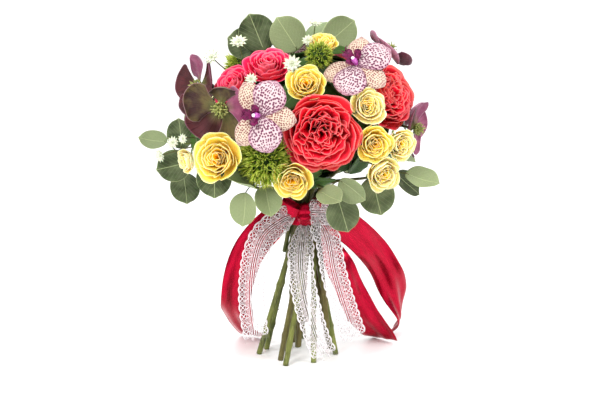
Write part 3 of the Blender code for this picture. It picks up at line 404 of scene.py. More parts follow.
# %% Where the flowers are
Flower = namedtuple("Flower", "name kind centre faces across roll")
FLOWERS = {row[0]: Flower(*row) for row in (
    ("rose_coral_front", "coral", (0.021, -0.120, 0.292), (0.05, -1, 0.0), 0.084, 0),
    ("rose_coral_right", "coral", (0.104, -0.056, 0.330), (0.75, -0.62, 0.35), 0.073, 20),
    ("rose_coral_back", "coral", (-0.028, 0.112, 0.292), (-0.15, 1, 0.1), 0.080, 0),
    ("rose_pink_left", "pink", (-0.083, -0.058, 0.344), (-0.50, -0.60, 0.65), 0.053, 10),
    ("rose_pink_top", "pink", (-0.039, -0.058, 0.368), (0.0, -0.55, 0.85), 0.054, 40),
    ("rose_pink_back", "pink", (0.064, 0.078, 0.350), (0.40, 0.70, 0.65), 0.058, 30),
    ("spray_rose_left", "yellow", (-0.098, -0.116, 0.267), (-0.35, -0.90, 0.25), 0.054, 0),
    ("spray_rose_left_small", "yellow", (-0.137, -0.066, 0.252), (-0.85, -0.6, -0.15), 0.028, 0),
    ("spray_rose_top", "yellow", (0.003, -0.098, 0.348), (-0.05, -0.85, 0.50), 0.042, 15),
    ("spray_rose_crown", "yellow", (0.024, -0.036, 0.388), (0.05, -0.45, 0.90), 0.032, 0),
    ("spray_rose_low", "yellow", (-0.012, -0.119, 0.239), (-0.05, -0.95, -0.25), 0.044, 0),
    ("spray_rose_right_upper", "yellow", (0.073, -0.101, 0.322), (0.25, -0.95, 0.3), 0.040, 30),
    ("spray_rose_right_inner", "yellow", (0.081, -0.105, 0.279), (0.25, -0.95, 0.0), 0.040, 0),
    ("spray_rose_right_outer", "yellow", (0.112, -0.088, 0.276), (0.55, -0.85, 0.05), 0.036, 10),
    ("spray_rose_right_low", "yellow", (0.092, -0.098, 0.242), (0.35, -0.9, -0.25), 0.040, 40),
    ("spray_rose_back_left", "yellow", (-0.098, 0.078, 0.302), (-0.70, 0.60, 0.25), 0.044, 0),
    ("spray_rose_back_right", "yellow", (0.058, 0.112, 0.272), (0.40, 0.90, 0.0), 0.044, 20),
    ("orchid_front", "orchid", (-0.048, -0.130, 0.316), (-0.15, -1, 0.15), 0.084, -95),
    ("orchid_right", "orchid", (0.060, -0.078, 0.366), (-0.10, -0.75, 0.65), 0.084, -125),
    ("orchid_back", "orchid", (0.014, 0.104, 0.352), (0.05, 0.80, 0.55), 0.080, 10),
    ("hellebore_left_front", "hellebore", (-0.094, -0.086, 0.315), (-0.3, -1, -0.05), 0.090, 0),
    ("hellebore_left_back", "hellebore", (-0.126, -0.028, 0.334), (-0.85, -0.5, 0.15), 0.080, 20),
    ("hellebore_right_top", "hellebore", (0.104, 0.010, 0.374), (0.65, 0.20, 0.75), 0.072, 0),
    ("hellebore_right_low", "hellebore", (0.136, -0.036, 0.284), (0.9, -0.4, -0.1), 0.074, 0),
    ("hellebore_back", "hellebore", (0.108, 0.072, 0.300), (0.80, 0.60, 0.05), 0.080, 0),
)}
DEPTHS = {"coral": 0.40, "pink": 0.40, "yellow": 0.40, "hellebore": 0.10}
ORCHID_DEPTH = 0.006


def way_of(flower):
    """The way a flower faces."""
    return Vector(flower.faces).normalized()


def foot_of(flower):
    """Where the stem meets the flower."""
    depth = DEPTHS[flower.kind] * flower.across if flower.kind in DEPTHS else ORCHID_DEPTH
    return Vector(flower.centre) - way_of(flower) * depth


def turned(side, up, out):
    """The matrix that turns +X, +Y and +Z to these three ways."""
    return Matrix((side, up, out)).transposed().to_4x4()


def pose(centre, faces, roll):
    """A place in the bunch that faces a way and is turned by roll degrees."""
    forward = Vector(faces).normalized()
    right = UP.cross(forward)
    if right.length < 0.05:
        right = Vector((1, 0, 0))
    right.normalize()
    turn = turned(right, forward.cross(right), forward)
    spin = Matrix.Rotation(math.radians(roll), 4, "Z")
    return Matrix.Translation(AXIS + Vector(centre)) @ turn @ spin


def stand(flower):
    return pose(foot_of(flower), flower.faces, flower.roll)


def draw_for(name):
    """The random draws of one piece, the same each time."""
    return random.Random(sum(ord(letter) * (i + 1) for i, letter in enumerate(name)))


print(len(FLOWERS), "flowers")

# %% [markdown]
# ## Roses
# A garden rose has a cup of round outer petals, and inside it a crowd of small crumpled ones: some
# curve round the heart like nested bowls, and some stand on edge and run outwards in waves. There is
# one formula for each of the three. Lengths are shares of the radius of the bloom. All petals are
# ruffled by a few waves that grow towards the rim, since the edge of a petal grows more than its
# middle.


# %% Petals of a rose
ANY_PHASE = 6.3
PETAL_THICKNESS = 0.00045


def ripple(u, v, draw, waves):
    """Soft uneven waves across a blade, growing towards its rim."""
    total = np.zeros_like(u)
    for share, faster in ((0.6, 1.0), (0.3, 1.9), (0.16, 3.3)):
        pace = waves * faster * draw.uniform(0.8, 1.25)
        total += share * np.sin(pace * u + draw.uniform(0, ANY_PHASE) + draw.uniform(-1.5, 1.5) * v)
    return total * v**2


def polar(radius, swing, height):
    return np.stack([radius * np.cos(swing), radius * np.sin(swing), height], axis=-1)


def cup_petal(draw, turn, span, root, belly, rim, tip, curl, fan, ruffle, waves=3.0,
              rows=12, columns=15):
    """A cupped petal. root, belly and rim are (radius, height), tip is how far it is rounded."""
    u, v = lattice(rows, columns)
    reach = v * (1 - tip * np.abs(u) ** 2.6)
    radius, height = [(1 - reach) ** 2 * a + 2 * reach * (1 - reach) * b + reach**2 * c
                      for a, b, c in zip(root, belly, rim)]
    rolled = np.clip((reach - 0.72) / 0.28, 0, 1) ** 2
    radius = radius + curl * rolled + fan * u * v + ruffle * ripple(u, v, draw, waves)
    height = height - 0.5 * curl * rolled + 0.7 * ruffle * ripple(u, v, draw, waves)
    swing = turn - u * span * (0.3 + 0.7 * reach**0.6)
    return polar(radius, swing, height)


def arc_petal(draw, turn, span, radius, crown, ruffle, waves, rows=8, columns=21):
    """An inner petal: a wall that curves round the heart and sways in and out."""
    u, v = lattice(rows, columns)
    sway = draw.uniform(0.06, 0.14) * np.sin(draw.uniform(2.0, 4.0) * u + draw.uniform(0, ANY_PHASE))
    around = radius * (0.62 + 0.38 * v**0.8) * (1 + sway * v) + ruffle * ripple(u, v, draw, waves)
    around = around + draw.uniform(0.03, 0.08) * np.clip((v - 0.55) / 0.45, 0, 1) ** 2
    swing = turn - u * span + 0.5 * ruffle * ripple(u, v, draw, waves) / (radius + 0.15)
    height = 0.10 + (crown - 0.2 * radius**2 - 0.10) * v * (1 - 0.22 * np.abs(u) ** 3)
    return polar(around, swing, height + 0.7 * ruffle * ripple(u, v, draw, waves))


def radial_petal(draw, turn, inner, outer, crown, wave, rows=8, columns=27):
    """A petal that stands on edge and runs outwards in waves."""
    u, v = lattice(rows, columns)
    around = inner + (outer - inner) * (u + 1) / 2
    pace = draw.uniform(3.5, 5.5)
    sideways = wave * np.sin(pace * u + draw.uniform(0, ANY_PHASE))
    sideways = sideways + 0.5 * wave * np.sin(1.9 * pace * u + draw.uniform(0, ANY_PHASE))
    lean = draw.choice((-1, 1)) * draw.uniform(0.06, 0.13) * v**3
    swing = turn + (sideways * (0.3 + 0.7 * v) + lean) / (around + 0.12)
    height = 0.10 + (crown - 0.2 * around**2 - 0.10) * v * (1 - 0.15 * u**2)
    return polar(around * (0.72 + 0.28 * v), swing, height + 0.4 * wave * ripple(u, v, draw, 4))


# %% [markdown]
# A rose is then a list of nests, of standing petals and of whorls. A nest is its middle and half
# width in degrees, its first and last radius, its number of levels and the petals in each. A whorl
# is its number of petals, the radius and height of its rim and how far the rim curls out. The coral
# roses have their largest nest below and their standing petals above, as in the picture.

# %% Recipes for the roses
Nest = namedtuple("Nest", "middle span first last levels petals")
Whorl = namedtuple("Whorl", "petals radius height curl ruffle")
Recipe = namedtuple("Recipe", "nests standing crown ruffle whorls")
RECIPES = {
    "coral": Recipe(
        (
            Nest(265, 66, 0.16, 0.74, 8, 2),
            Nest(265, 180, 0.07, 0.15, 2, 3),
            Nest(95, 84, 0.24, 0.74, 5, 3),
        ),
        10, 0.92, 0.060,
        (
            Whorl(6, 0.82, 0.84, 0.06, 0.08),
            Whorl(6, 0.91, 0.72, 0.09, 0.08),
            Whorl(6, 0.98, 0.56, 0.12, 0.07),
        ),
    ),
    "pink": Recipe(
        (Nest(90, 180, 0.08, 0.24, 3, 3),),
        0, 0.88, 0.035,
        (
            Whorl(4, 0.34, 0.90, 0.05, 0.04),
            Whorl(5, 0.48, 0.88, 0.08, 0.05),
            Whorl(5, 0.64, 0.80, 0.10, 0.06),
            Whorl(6, 0.82, 0.68, 0.12, 0.07),
            Whorl(6, 0.98, 0.52, 0.12, 0.06),
        ),
    ),
    "yellow": Recipe(
        (Nest(90, 180, 0.10, 0.44, 4, 4),),
        0, 0.76, 0.065,
        (
            Whorl(4, 0.58, 0.96, 0.02, 0.06),
            Whorl(5, 0.74, 0.96, 0.07, 0.07),
            Whorl(5, 0.94, 0.80, 0.14, 0.08),
        ),
    ),
}


for kind, recipe in RECIPES.items():
    nested = sum(nest.levels * nest.petals for nest in recipe.nests)
    print(kind, nested + recipe.standing + sum(whorl.petals for whorl in recipe.whorls), "petals")

# %% [markdown]
# No two petals of a real rose are alike. So a random draw moves each petal a little off its even
# place, and changes its width and height. The draw starts from the name of the flower: flowers
# differ from each other, and each is the same whenever the script runs.

# %% Grow a rose
STANDING_FROM, STANDING_OVER = -12, 204
STANDING_WAVE = 0.085


def nest_petals(nest, recipe, draw):
    """The levels of a nest, each spread over its width."""
    for level in range(nest.levels):
        share = level / max(nest.levels - 1, 1)
        radius = nest.first + (nest.last - nest.first) * share
        turned_by = draw.uniform(0, 120) if nest.span == 180 else 0
        for i in range(nest.petals):
            turn = nest.middle + nest.span * (2 * (i + 0.5) / nest.petals - 1) + turned_by
            turn = math.radians(turn + draw.uniform(-9, 9))
            span = math.radians(nest.span / nest.petals * draw.uniform(1.25, 1.7))
            crown = recipe.crown * draw.uniform(0.93, 1.04)
            around = radius * draw.uniform(0.94, 1.06)
            grid = arc_petal(draw, turn, span, around, crown, recipe.ruffle, 3 + 2.5 * share)
            yield grid, 0.5 * share


def rose_petals(recipe, draw):
    """Each petal as a grid, with its place from the heart (0) to the outside (1)."""
    for nest in recipe.nests:
        yield from nest_petals(nest, recipe, draw)
    for i in range(recipe.standing):
        turn = STANDING_FROM + STANDING_OVER * (i + 0.5) / recipe.standing + draw.uniform(-5, 5)
        inner, outer = draw.uniform(0.10, 0.34), draw.uniform(0.62, 0.80)
        crown = recipe.crown * draw.uniform(0.92, 1.04)
        grid = radial_petal(draw, math.radians(turn), inner, outer, crown, STANDING_WAVE)
        yield grid, draw.uniform(0.1, 0.5)
    for order, whorl in enumerate(recipe.whorls):
        start = draw.uniform(0, 360)
        for i in range(whorl.petals):
            turn = math.radians(start + 360 * i / whorl.petals + draw.uniform(-9, 9))
            span = math.pi / whorl.petals * draw.uniform(1.3, 1.6)
            rim = (whorl.radius * draw.uniform(0.93, 1.04), whorl.height * draw.uniform(0.90, 1.05))
            root, belly = (0.14, 0.02 + 0.02 * order), (whorl.radius, 0.05)
            grid = cup_petal(draw, turn, span, root, belly, rim, 0.22, whorl.curl, 0.04, whorl.ruffle)
            yield grid, 0.55 + 0.45 * (order + 1) / len(recipe.whorls)


def grow_rose(flower, finish):
    draw = draw_for(flower.name)
    mould = Mould(finish)
    for grid, place in rose_petals(RECIPES[flower.kind], draw):
        grid = grid * (flower.across / 2)
        mould.blade(grid, PETAL_THICKNESS, draw.random(), place, matrix=stand(flower))
    mould.cast(flower.name + ".petals", flower.name, slot=flower.kind + "_petal")


# %% [markdown]
# A petal is matt and lets some light through, so its finish has a little subsurface. Its face is
# deep and saturated, its back is paler, and the very rim is palest, which is what draws the
# ruffles. Fine veins run along it. Each petal is painted darker towards its root: a painted shade
# for the depth between the petals. The heart of the flower is given a deeper colour than the guard
# petals. Four of the spray roses are cream, the others yellow.


# %% Finish of rose petals
def petal_finish(name, heart, outer, reverse, rim, root, soft=0.2):
    paint = Paint(name, heart, Subsurface_Weight=soft, Subsurface_Scale=0.004,
                  Subsurface_Radius=(1.0, 0.45, 0.2), Specular_IOR_Level=0.08)
    veins = paint.fibres(34, 2.2, 4, 0.4)
    paint.tint(outer, 1.0, paint.place, 0.1, 0.9)
    # painted shade: each petal darkens to the root colour towards its base, for the depth between the
    # petals
    paint.tint(root, 1.0, paint.along, 0.75, 0.0)
    paint.tint(reverse, 0.85, paint.face, 0.6, 0.4)
    paint.tint(rim, 0.6, paint.rim(0.45, 0.92))
    shade = paint.span(paint.tone, 0.0, 1.0, 0.84, 1.08)
    for pattern, low, high in ((veins, -0.10, 0.08), (paint.clouds(90, 2), -0.05, 0.05)):
        shade = paint.math("ADD", shade, paint.span(pattern, 0.3, 0.7, low, high))
    shade = paint.node("CombineXYZ", {0: shade, 1: shade, 2: shade}).outputs[0]
    paint.colour = paint.mix(1.0, paint.colour, shade, "MULTIPLY")
    return paint.grained(veins, 0.5, 0.7, 0.0004, 0.5)


# the last colour of each finish is the painted shade at the roots of the petals
ROSE_FINISHES = {
    "coral": petal_finish("coral_rose", (0.78, 0.004, 0.026), (0.85, 0.034, 0.060), (0.91, 0.13, 0.15),
                          (0.95, 0.25, 0.25), (0.46, 0.001, 0.012)),
    "pink": petal_finish("pink_rose", (0.76, 0.003, 0.060), (0.84, 0.016, 0.100), (0.90, 0.16, 0.24),
                         (0.94, 0.23, 0.32), (0.46, 0.001, 0.03)),
    "yellow": petal_finish("spray_rose", (0.95, 0.46, 0.010), (0.97, 0.70, 0.13), (0.96, 0.80, 0.32),
                           (0.97, 0.88, 0.50), (0.88, 0.32, 0.006), 0.4),
    "cream": petal_finish("spray_rose_cream", (0.95, 0.58, 0.03), (0.96, 0.79, 0.33), (0.96, 0.84, 0.48),
                          (0.97, 0.90, 0.62), (0.88, 0.40, 0.015), 0.4),
}
CREAM_ROSES = ("spray_rose_right_upper", "spray_rose_right_outer", "spray_rose_right_low",
               "spray_rose_left_small")
for flower in FLOWERS.values():
    if flower.kind in ROSE_FINISHES:
        tint = "cream" if flower.name in CREAM_ROSES else flower.kind
        grow_rose(flower, ROSE_FINISHES[tint])

# %% [markdown]
# ## Stems
# A florist lays every stem through the tie at the same slant and turns the bunch as it grows, so
# the stems cross the waist in rings and open into a circle of feet that stands alone. The same rule
# lays them here: slots packed in rings of 6, 12 and 12 round one in the middle, the stems that lean
# out most in the outer ring, each ring in the order of its headings. Below the tie a stem is
# straight. Above it, it bends to its flower. `foot` is the height of its cut end, and `gain` says
# how much further it leans below the tie than above.

# %% The plan of the stems
WAIST_PITCH = 0.0064
STEM_RADIUS = 0.0029
BRANCH_RADIUS = 0.0019
TWIST = 17.0
TURN_ON = 0.6
TIE_HEIGHT = 0.026
SHORT_STEM = 0.128
NECK = 0.010
Stem = namedtuple("Stem", "name flowers fork foot gain", defaults=(None, 0.0, 1.0))
STEMS = (
    Stem("rose_coral_front_stem", ["rose_coral_front"], gain=1.15),
    Stem("rose_coral_right_stem", ["rose_coral_right"]),
    Stem("rose_pink_left_stem", ["rose_pink_left"]),
    Stem("rose_pink_top_stem", ["rose_pink_top"]),
    Stem("rose_coral_back_stem", ["rose_coral_back"]),
    Stem("rose_pink_back_stem", ["rose_pink_back"]),
    Stem("spray_rose_left_stem", ["spray_rose_left", "spray_rose_left_small"], (-0.070, -0.045, 0.245)),
    Stem("spray_rose_top_stem", ["spray_rose_top", "spray_rose_crown"], (0.002, -0.022, 0.305)),
    Stem("spray_rose_low_stem", ["spray_rose_low"]),
    Stem("spray_rose_right_stem",
         ["spray_rose_right_upper", "spray_rose_right_inner", "spray_rose_right_outer",
          "spray_rose_right_low"], (0.048, -0.046, 0.244)),
    Stem("spray_rose_back_stem", ["spray_rose_back_left", "spray_rose_back_right"],
         (-0.036, 0.046, 0.262)),
    Stem("hellebore_left_stem", ["hellebore_left_front", "hellebore_left_back"],
         (-0.078, -0.018, 0.282), 0.030),
    Stem("hellebore_right_stem", ["hellebore_right_top", "hellebore_right_low"],
         (0.070, -0.004, 0.285), 0.018),
    Stem("hellebore_back_stem", ["hellebore_back"], None, 0.040),
)
print(len(STEMS), "flower stems, rings at the waist", round(1000 * WAIST_PITCH, 1), "mm apart")

# %% [markdown]
# A branch of eucalyptus is planned by its tip, a point that it is drawn towards on its way up and
# its leaves. Each leaf has its middle, the way its tip points, the way its face looks, its width, a
# tone from dark (0) to pale (1) and how far it is folded. The leaves are placed one by one, because
# they stand free at the rim of the bunch, where a rule would show.

# %% The plan of the eucalyptus
Leaf = namedtuple("Leaf", "centre tip faces across tone fold")
Spray = namedtuple("Spray", "name tip bulge leaves")
SAGE, OLIVE, DEEP, PALE = 0.30, 0.10, 0.12, 0.95
EUCALYPTUS = (
    Spray("eucalyptus_left", (-0.150, 0.004, 0.246), (-0.080, 0.000, 0.225), [
        Leaf((-0.178, 0.000, 0.264), (-1, 0, 0.15), (0.1, -0.55, 0.80), 0.032, 0.7, 0),
        Leaf((-0.144, -0.016, 0.275), (-0.1, -0.1, 1), (-0.3, -1, 0), 0.034, DEEP, 0),
        Leaf((-0.152, -0.022, 0.238), (-1, -0.2, -0.2), (0.1, -1, 0.25), 0.038, 0.2, 0),
        Leaf((-0.142, 0.012, 0.205), (0.1, 0, -1), (-0.1, -1, -0.1), 0.037, DEEP, 0),
        Leaf((-0.102, -0.062, 0.232), (0.0, -0.3, -1), (-0.1, -1, 0.2), 0.042, DEEP, 0),
    ]),
    Spray("eucalyptus_low_left", (-0.062, -0.078, 0.226), (-0.034, -0.040, 0.205), [
        Leaf((-0.070, -0.106, 0.234), (-0.55, -0.6, 0.55), (0.55, -0.2, 0.75), 0.038, PALE, 0.5),
        Leaf((-0.066, -0.094, 0.203), (-0.15, -0.3, -1), (-0.4, -0.9, 0.15), 0.036, PALE, 0.2),
        Leaf((-0.040, -0.094, 0.212), (0.2, -0.5, -0.85), (0.1, -0.9, 0.5), 0.034, 0.8, 0.3),
    ]),
    Spray("eucalyptus_low_right", (0.030, -0.084, 0.226), (0.014, -0.040, 0.212), [
        Leaf((0.030, -0.108, 0.220), (0.7, -0.6, -0.2), (-0.2, -0.6, 0.8), 0.030, 0.8, 0.2),
        Leaf((0.056, -0.094, 0.226), (0.8, -0.2, -0.6), (-0.4, -0.9, -0.2), 0.034, 0.7, 0.3),
        Leaf((0.045, -0.090, 0.196), (0.3, 0, -1), (0.0, -1, 0.05), 0.038, SAGE, 0),
    ]),
    Spray("eucalyptus_right", (0.100, -0.050, 0.236), (0.050, -0.022, 0.212), [
        Leaf((0.084, -0.072, 0.214), (0.25, -0.3, -1), (0.1, -1, 0.2), 0.042, SAGE, 0),
        Leaf((0.136, -0.066, 0.231), (1, -0.3, -0.15), (0.1, -0.5, 0.85), 0.038, PALE, 0.1),
        Leaf((0.122, -0.030, 0.218), (0.7, 0.1, -0.7), (0.6, -0.5, 0.6), 0.036, DEEP, 0),
    ]),
    Spray("eucalyptus_top", (-0.014, 0.010, 0.372), (-0.014, 0.012, 0.290), [
        Leaf((-0.054, 0.012, 0.390), (-0.4, 0, 1), (0.0, -1, 0.1), 0.044, OLIVE, 0),
        Leaf((-0.070, 0.026, 0.376), (-1, 0, 0.4), (-0.1, -1, 0.3), 0.038, OLIVE, 0),
        Leaf((-0.018, -0.008, 0.391), (-0.5, -0.1, 0.8), (0.05, -1, 0.1), 0.042, 0.8, 0),
        Leaf((0.044, 0.006, 0.392), (0.8, 0, 0.7), (0.0, -1, 0.15), 0.038, 0.7, 0),
        Leaf((0.020, 0.034, 0.384), (0.4, 0.5, 0.7), (0.1, 0.8, -0.5), 0.038, SAGE, 0),
    ]),
    Spray("eucalyptus_back_left", (-0.112, 0.060, 0.262), (-0.060, 0.030, 0.230), [
        Leaf((-0.140, 0.052, 0.262), (-1, 0, 0.2), (0.2, 0.7, 0.7), 0.038, SAGE, 0),
        Leaf((-0.110, 0.076, 0.236), (-0.4, 0.5, -0.9), (-0.4, 1, 0.2), 0.040, 0.4, 0),
        Leaf((-0.128, 0.036, 0.290), (-0.6, -0.1, 0.9), (-0.7, 0.6, 0.2), 0.036, DEEP, 0),
        Leaf((-0.070, 0.082, 0.228), (0.2, 0.6, -0.8), (0.0, 0.9, 0.5), 0.040, SAGE, 0),
    ]),
    Spray("eucalyptus_back_right", (0.084, 0.072, 0.238), (0.040, 0.030, 0.215), [
        Leaf((0.100, 0.088, 0.226), (0.6, 0.6, -0.6), (0.4, 0.6, 0.6), 0.040, SAGE, 0),
        Leaf((0.060, 0.094, 0.222), (-0.2, 0.6, -0.8), (0.0, 0.9, 0.4), 0.038, 0.7, 0),
        Leaf((0.118, 0.048, 0.232), (1, 0.1, -0.2), (0.2, 0.4, 0.9), 0.038, 0.4, 0),
    ]),
)
print(sum(len(spray.leaves) for spray in EUCALYPTUS), "leaves on", len(EUCALYPTUS), "branches")

# %% [markdown]
# A stem of masterwort has a fork and three stars, each with its place, the way it faces and its
# width. A dianthus is a ball with its middle and its width.

# %% The plan of the masterwort and the dianthus
MASTERWORT = {
    "masterwort_left_top": ((-0.050, -0.020, 0.314), [
        ((-0.104, -0.040, 0.368), (-0.4, -0.7, 0.6), 0.020),
        ((-0.074, -0.030, 0.384), (-0.1, -0.6, 0.8), 0.022),
        ((-0.058, -0.090, 0.350), (0.0, -0.9, 0.5), 0.015),
    ]),
    "masterwort_crown": ((0.010, -0.012, 0.345), [
        ((0.014, 0.000, 0.402), (0.1, -0.4, 0.9), 0.017),
        ((0.006, -0.030, 0.386), (-0.2, -0.7, 0.7), 0.016),
        ((-0.012, -0.082, 0.366), (-0.2, -0.9, 0.4), 0.022),
    ]),
    "masterwort_left": ((-0.098, -0.026, 0.262), [
        ((-0.150, -0.044, 0.270), (-0.4, -0.9, 0.3), 0.016),
        ((-0.166, -0.030, 0.252), (-0.7, -0.7, -0.1), 0.017),
        ((-0.136, -0.072, 0.280), (-0.5, -0.9, 0.0), 0.013),
    ]),
    "masterwort_back": ((-0.022, 0.040, 0.322), [
        ((-0.050, 0.082, 0.350), (-0.4, 0.8, 0.5), 0.020),
        ((-0.020, 0.050, 0.386), (-0.1, 0.5, 0.9), 0.018),
        ((-0.064, 0.104, 0.330), (-0.3, 1, 0.2), 0.018),
    ]),
}
DIANTHUS = {
    "dianthus_front": ((-0.042, -0.096, 0.262), 0.060),
    "dianthus_top": ((0.018, -0.060, 0.374), 0.030),
    "dianthus_back": ((-0.070, 0.044, 0.344), 0.048),
}
print(len(MASTERWORT), "stems of masterwort,", len(DIANTHUS), "heads of dianthus")


# %% [markdown]
# Each ring has more slots than stems or as many. The stems of a ring keep the order of their
# headings and are shifted round it together, until they have to turn least between the tie and
# their flowers. Orchids, eucalyptus, masterwort and dianthus pass through the tie as well, on stems
# of their own, so they take their slots by the same rule.

# %% Lay the stems through the tie
def heading(point):
    return math.atan2(point[1], point[0])


def waist_slots():
    """One slot in the middle and rings of 6, 12 and 12 packed round it."""
    steps = [Vector((math.cos(a), math.sin(a))) for a in (0, math.radians(60))]
    rings = {0: [], 1: [], 2: [], 3: []}
    for i in range(-3, 4):
        for j in range(-3, 4):
            ring = max(abs(i), abs(j), abs(i + j))
            if ring < 3 or ring == 3 and 0 not in (i, j, i + j):
                rings[ring].append((steps[0] * i + steps[1] * j) * WAIST_PITCH)
    return rings


def mismatch(members, places, shift, targets):
    """How far the stems of one ring have to turn between the tie and their flowers."""
    total = 0.0
    for i, name in enumerate(members):
        spot = places[(i * len(places) // len(members) + shift) % len(places)]
        lift = math.atan(TWIST * (targets[name][2] - WAIST) * TURN_ON)
        off = heading(targets[name]) - heading(spot) - lift
        total += (1 - math.cos(off)) * math.hypot(*targets[name][:2])
    return total


def assign_slots(targets):
    slots = waist_slots()
    slope = {name: math.hypot(*spot[:2]) / (spot[2] - WAIST) for name, spot in targets.items()}
    left = sorted(targets, key=slope.get, reverse=True)
    given = {}
    for ring in (3, 2, 1, 0):
        count = len(slots[ring])
        members, left = sorted(left[:count], key=lambda n: heading(targets[n])), left[count:]
        places = sorted(slots[ring], key=heading)
        best = min(range(count), key=lambda shift: mismatch(members, places, shift, targets))
        for i, name in enumerate(members):
            given[name] = places[(i * count // max(len(members), 1) + best) % count]
    return given


def lower_stem(slot, foot, gain=1.0):
    """The straight run of a stem from its cut end up through the tie, and the way it then points."""
    lean = Vector((-TWIST * slot.y, TWIST * slot.x, 0))
    waist = Vector((slot.x, slot.y, WAIST))
    cut = waist + (lean * gain + UP) * (foot - WAIST)
    bottom = waist - (lean + UP) * (TIE_HEIGHT / 2)
    top = waist + (lean + UP) * (TIE_HEIGHT / 2 + 0.004)
    return ([cut, top] if gain == 1.0 else [cut, bottom, top]), lean + UP


def bezier(first, second, third, last, count):
    points = []
    for i in range(count + 1):
        t = i / count
        s = 1 - t
        points.append(first * s**3 + second * (3 * s * s * t) + third * (3 * s * t * t) + last * t**3)
    return points


def sweep_to(start, way, pull, end, faces, push, count):
    """A curve that leaves start along way and comes to end along faces."""
    reach = (end - start).length
    return bezier(start, start + way * reach * pull, end - faces * reach * push, end, count)


TARGETS = {stem.name: stem.fork or tuple(foot_of(FLOWERS[stem.flowers[0]])) for stem in STEMS}
TARGETS.update({spray.name: spray.tip for spray in EUCALYPTUS})
TARGETS.update({name: fork for name, (fork, _) in MASTERWORT.items()})
TARGETS.update({name: centre for name, (centre, _) in DIANTHUS.items()})
TARGETS.update({f.name: tuple(foot_of(f)) for f in FLOWERS.values() if f.kind == "orchid"})
SLOTS = assign_slots(TARGETS)
print(len(SLOTS), "stems through the tie")


# %% [markdown]
# A stem isn't a plain tube. It has a node every 4 to 6 cm, where a leaf sat, at which it is about a
# third thicker. It thins a little upwards, and its lowest part, below the tie, is the thickest. The
# tube follows the same centre line as the solid.


# %% Smooth stems with nodes
def refined(points, spacing=0.004):
    """The same line with points at an even spacing, its corners rounded a little."""
    points = np.asarray(points)
    along = distances(points)
    count = max(int(along[-1] / spacing), 3)
    even = np.linspace(0, along[-1], count + 1)
    line = np.stack([np.interp(even, along, points[:, k]) for k in range(3)], -1)
    for _ in range(3):
        line[1:-1] = line[:-2] * 0.25 + line[1:-1] * 0.5 + line[2:] * 0.25
    return line, even


GREEN_LINES = []
FIRST_NODE, NODE_GAPS = (0.02, 0.045), (0.038, 0.062)
NODE_SWELL, NODE_LENGTH = (0.26, 0.46), 0.0034
FOOT_SWELL = 0.18
FIFTH = 1.2566
SEPAL_THICKNESS = 0.0006


def grow_stalk(mould, points, foot_radius, tip_radius, draw, finish=0, sides=10, nodes=True):
    line, even = refined([tuple(AXIS + p) for p in points])
    GREEN_LINES.append(line)
    radii = np.interp(even, [0, even[-1]], [foot_radius, tip_radius])
    radii *= 1 + FOOT_SWELL * np.clip((WAIST - 0.03 - line[:, 2]) / 0.10, 0, 1)
    if nodes:
        at = draw.uniform(*FIRST_NODE)
        while at < even[-1] - FIRST_NODE[0]:
            radii *= 1 + draw.uniform(*NODE_SWELL) * np.exp(-(((even - at) / NODE_LENGTH) ** 2))
            at += draw.uniform(*NODE_GAPS)
    mould.tube(line, radii, sides, draw.random(), finish=finish)
    return line


def calyx(mould, flower, radius, finish):
    """The cup and the five sepals that a rose stands in."""
    place = stand(flower)
    size = flower.across / 2
    draw = draw_for(flower.name + "calyx")
    path = [(0, 0, height * size) for height in (-0.30, -0.2, -0.1, 0.0, 0.05)]
    radii = [radius] + [share * size for share in (0.13, 0.17, 0.16, 0.08)]
    mould.tube(path, radii, 12, finish=finish, matrix=place)
    for i in range(5):
        rim = (0.80, draw.uniform(-0.2, 0.25))
        grid = cup_petal(draw, FIFTH * i + 0.3, 0.34, (0.12, -0.02), (0.5, -0.12), rim,
                         0.75, 0.05, 0.02, 0.03, 2, 9, 7)
        mould.blade(grid * size, SEPAL_THICKNESS, draw.random(), 0.5, finish, place)


# %% [markdown]
# Fresh stems are green and slightly waxed, with long pale streaks. Some are browner by the draw, and
# all are darker towards the tie: a painted shade from the head and the tie, partly also the age of
# the stem. Leaves of roses are dark and a little glossy, toothed at the rim, with a midrib and side
# veins.


# %% Finishes of stems and leaves
# SHADED is the painted shade of the stems under the head and the tie, partly also their age
BARK, SHADED, DARK_CELL = (0.11, 0.065, 0.026), (0.040, 0.038, 0.010), (0.02, 0.04, 0.01)


def stem_finish(name, low, high, streak):
    paint = Paint(name, low, Specular_IOR_Level=0.34)
    grain = paint.noise(1.0, paint.stretched((600, 600, 45), paint.space), 4, 0.5)
    height = paint.node("SeparateXYZ", {0: paint.space}).outputs["Z"]
    paint.tint(high, 1.0, paint.clouds(38.0), 0.3, 0.7)
    paint.tint(streak, 0.6, grain, 0.5, 0.75)
    paint.tint(BARK, 0.65, paint.tone, 0.35, 1.0)
    # painted shade: darker from 9 cm up to the tie and above, where the head and the tie shade the stems
    paint.tint(SHADED, 0.6, height, 0.09, 0.18)
    return paint.grained(grain, 0.30, 0.5, 0.0005, 0.5)


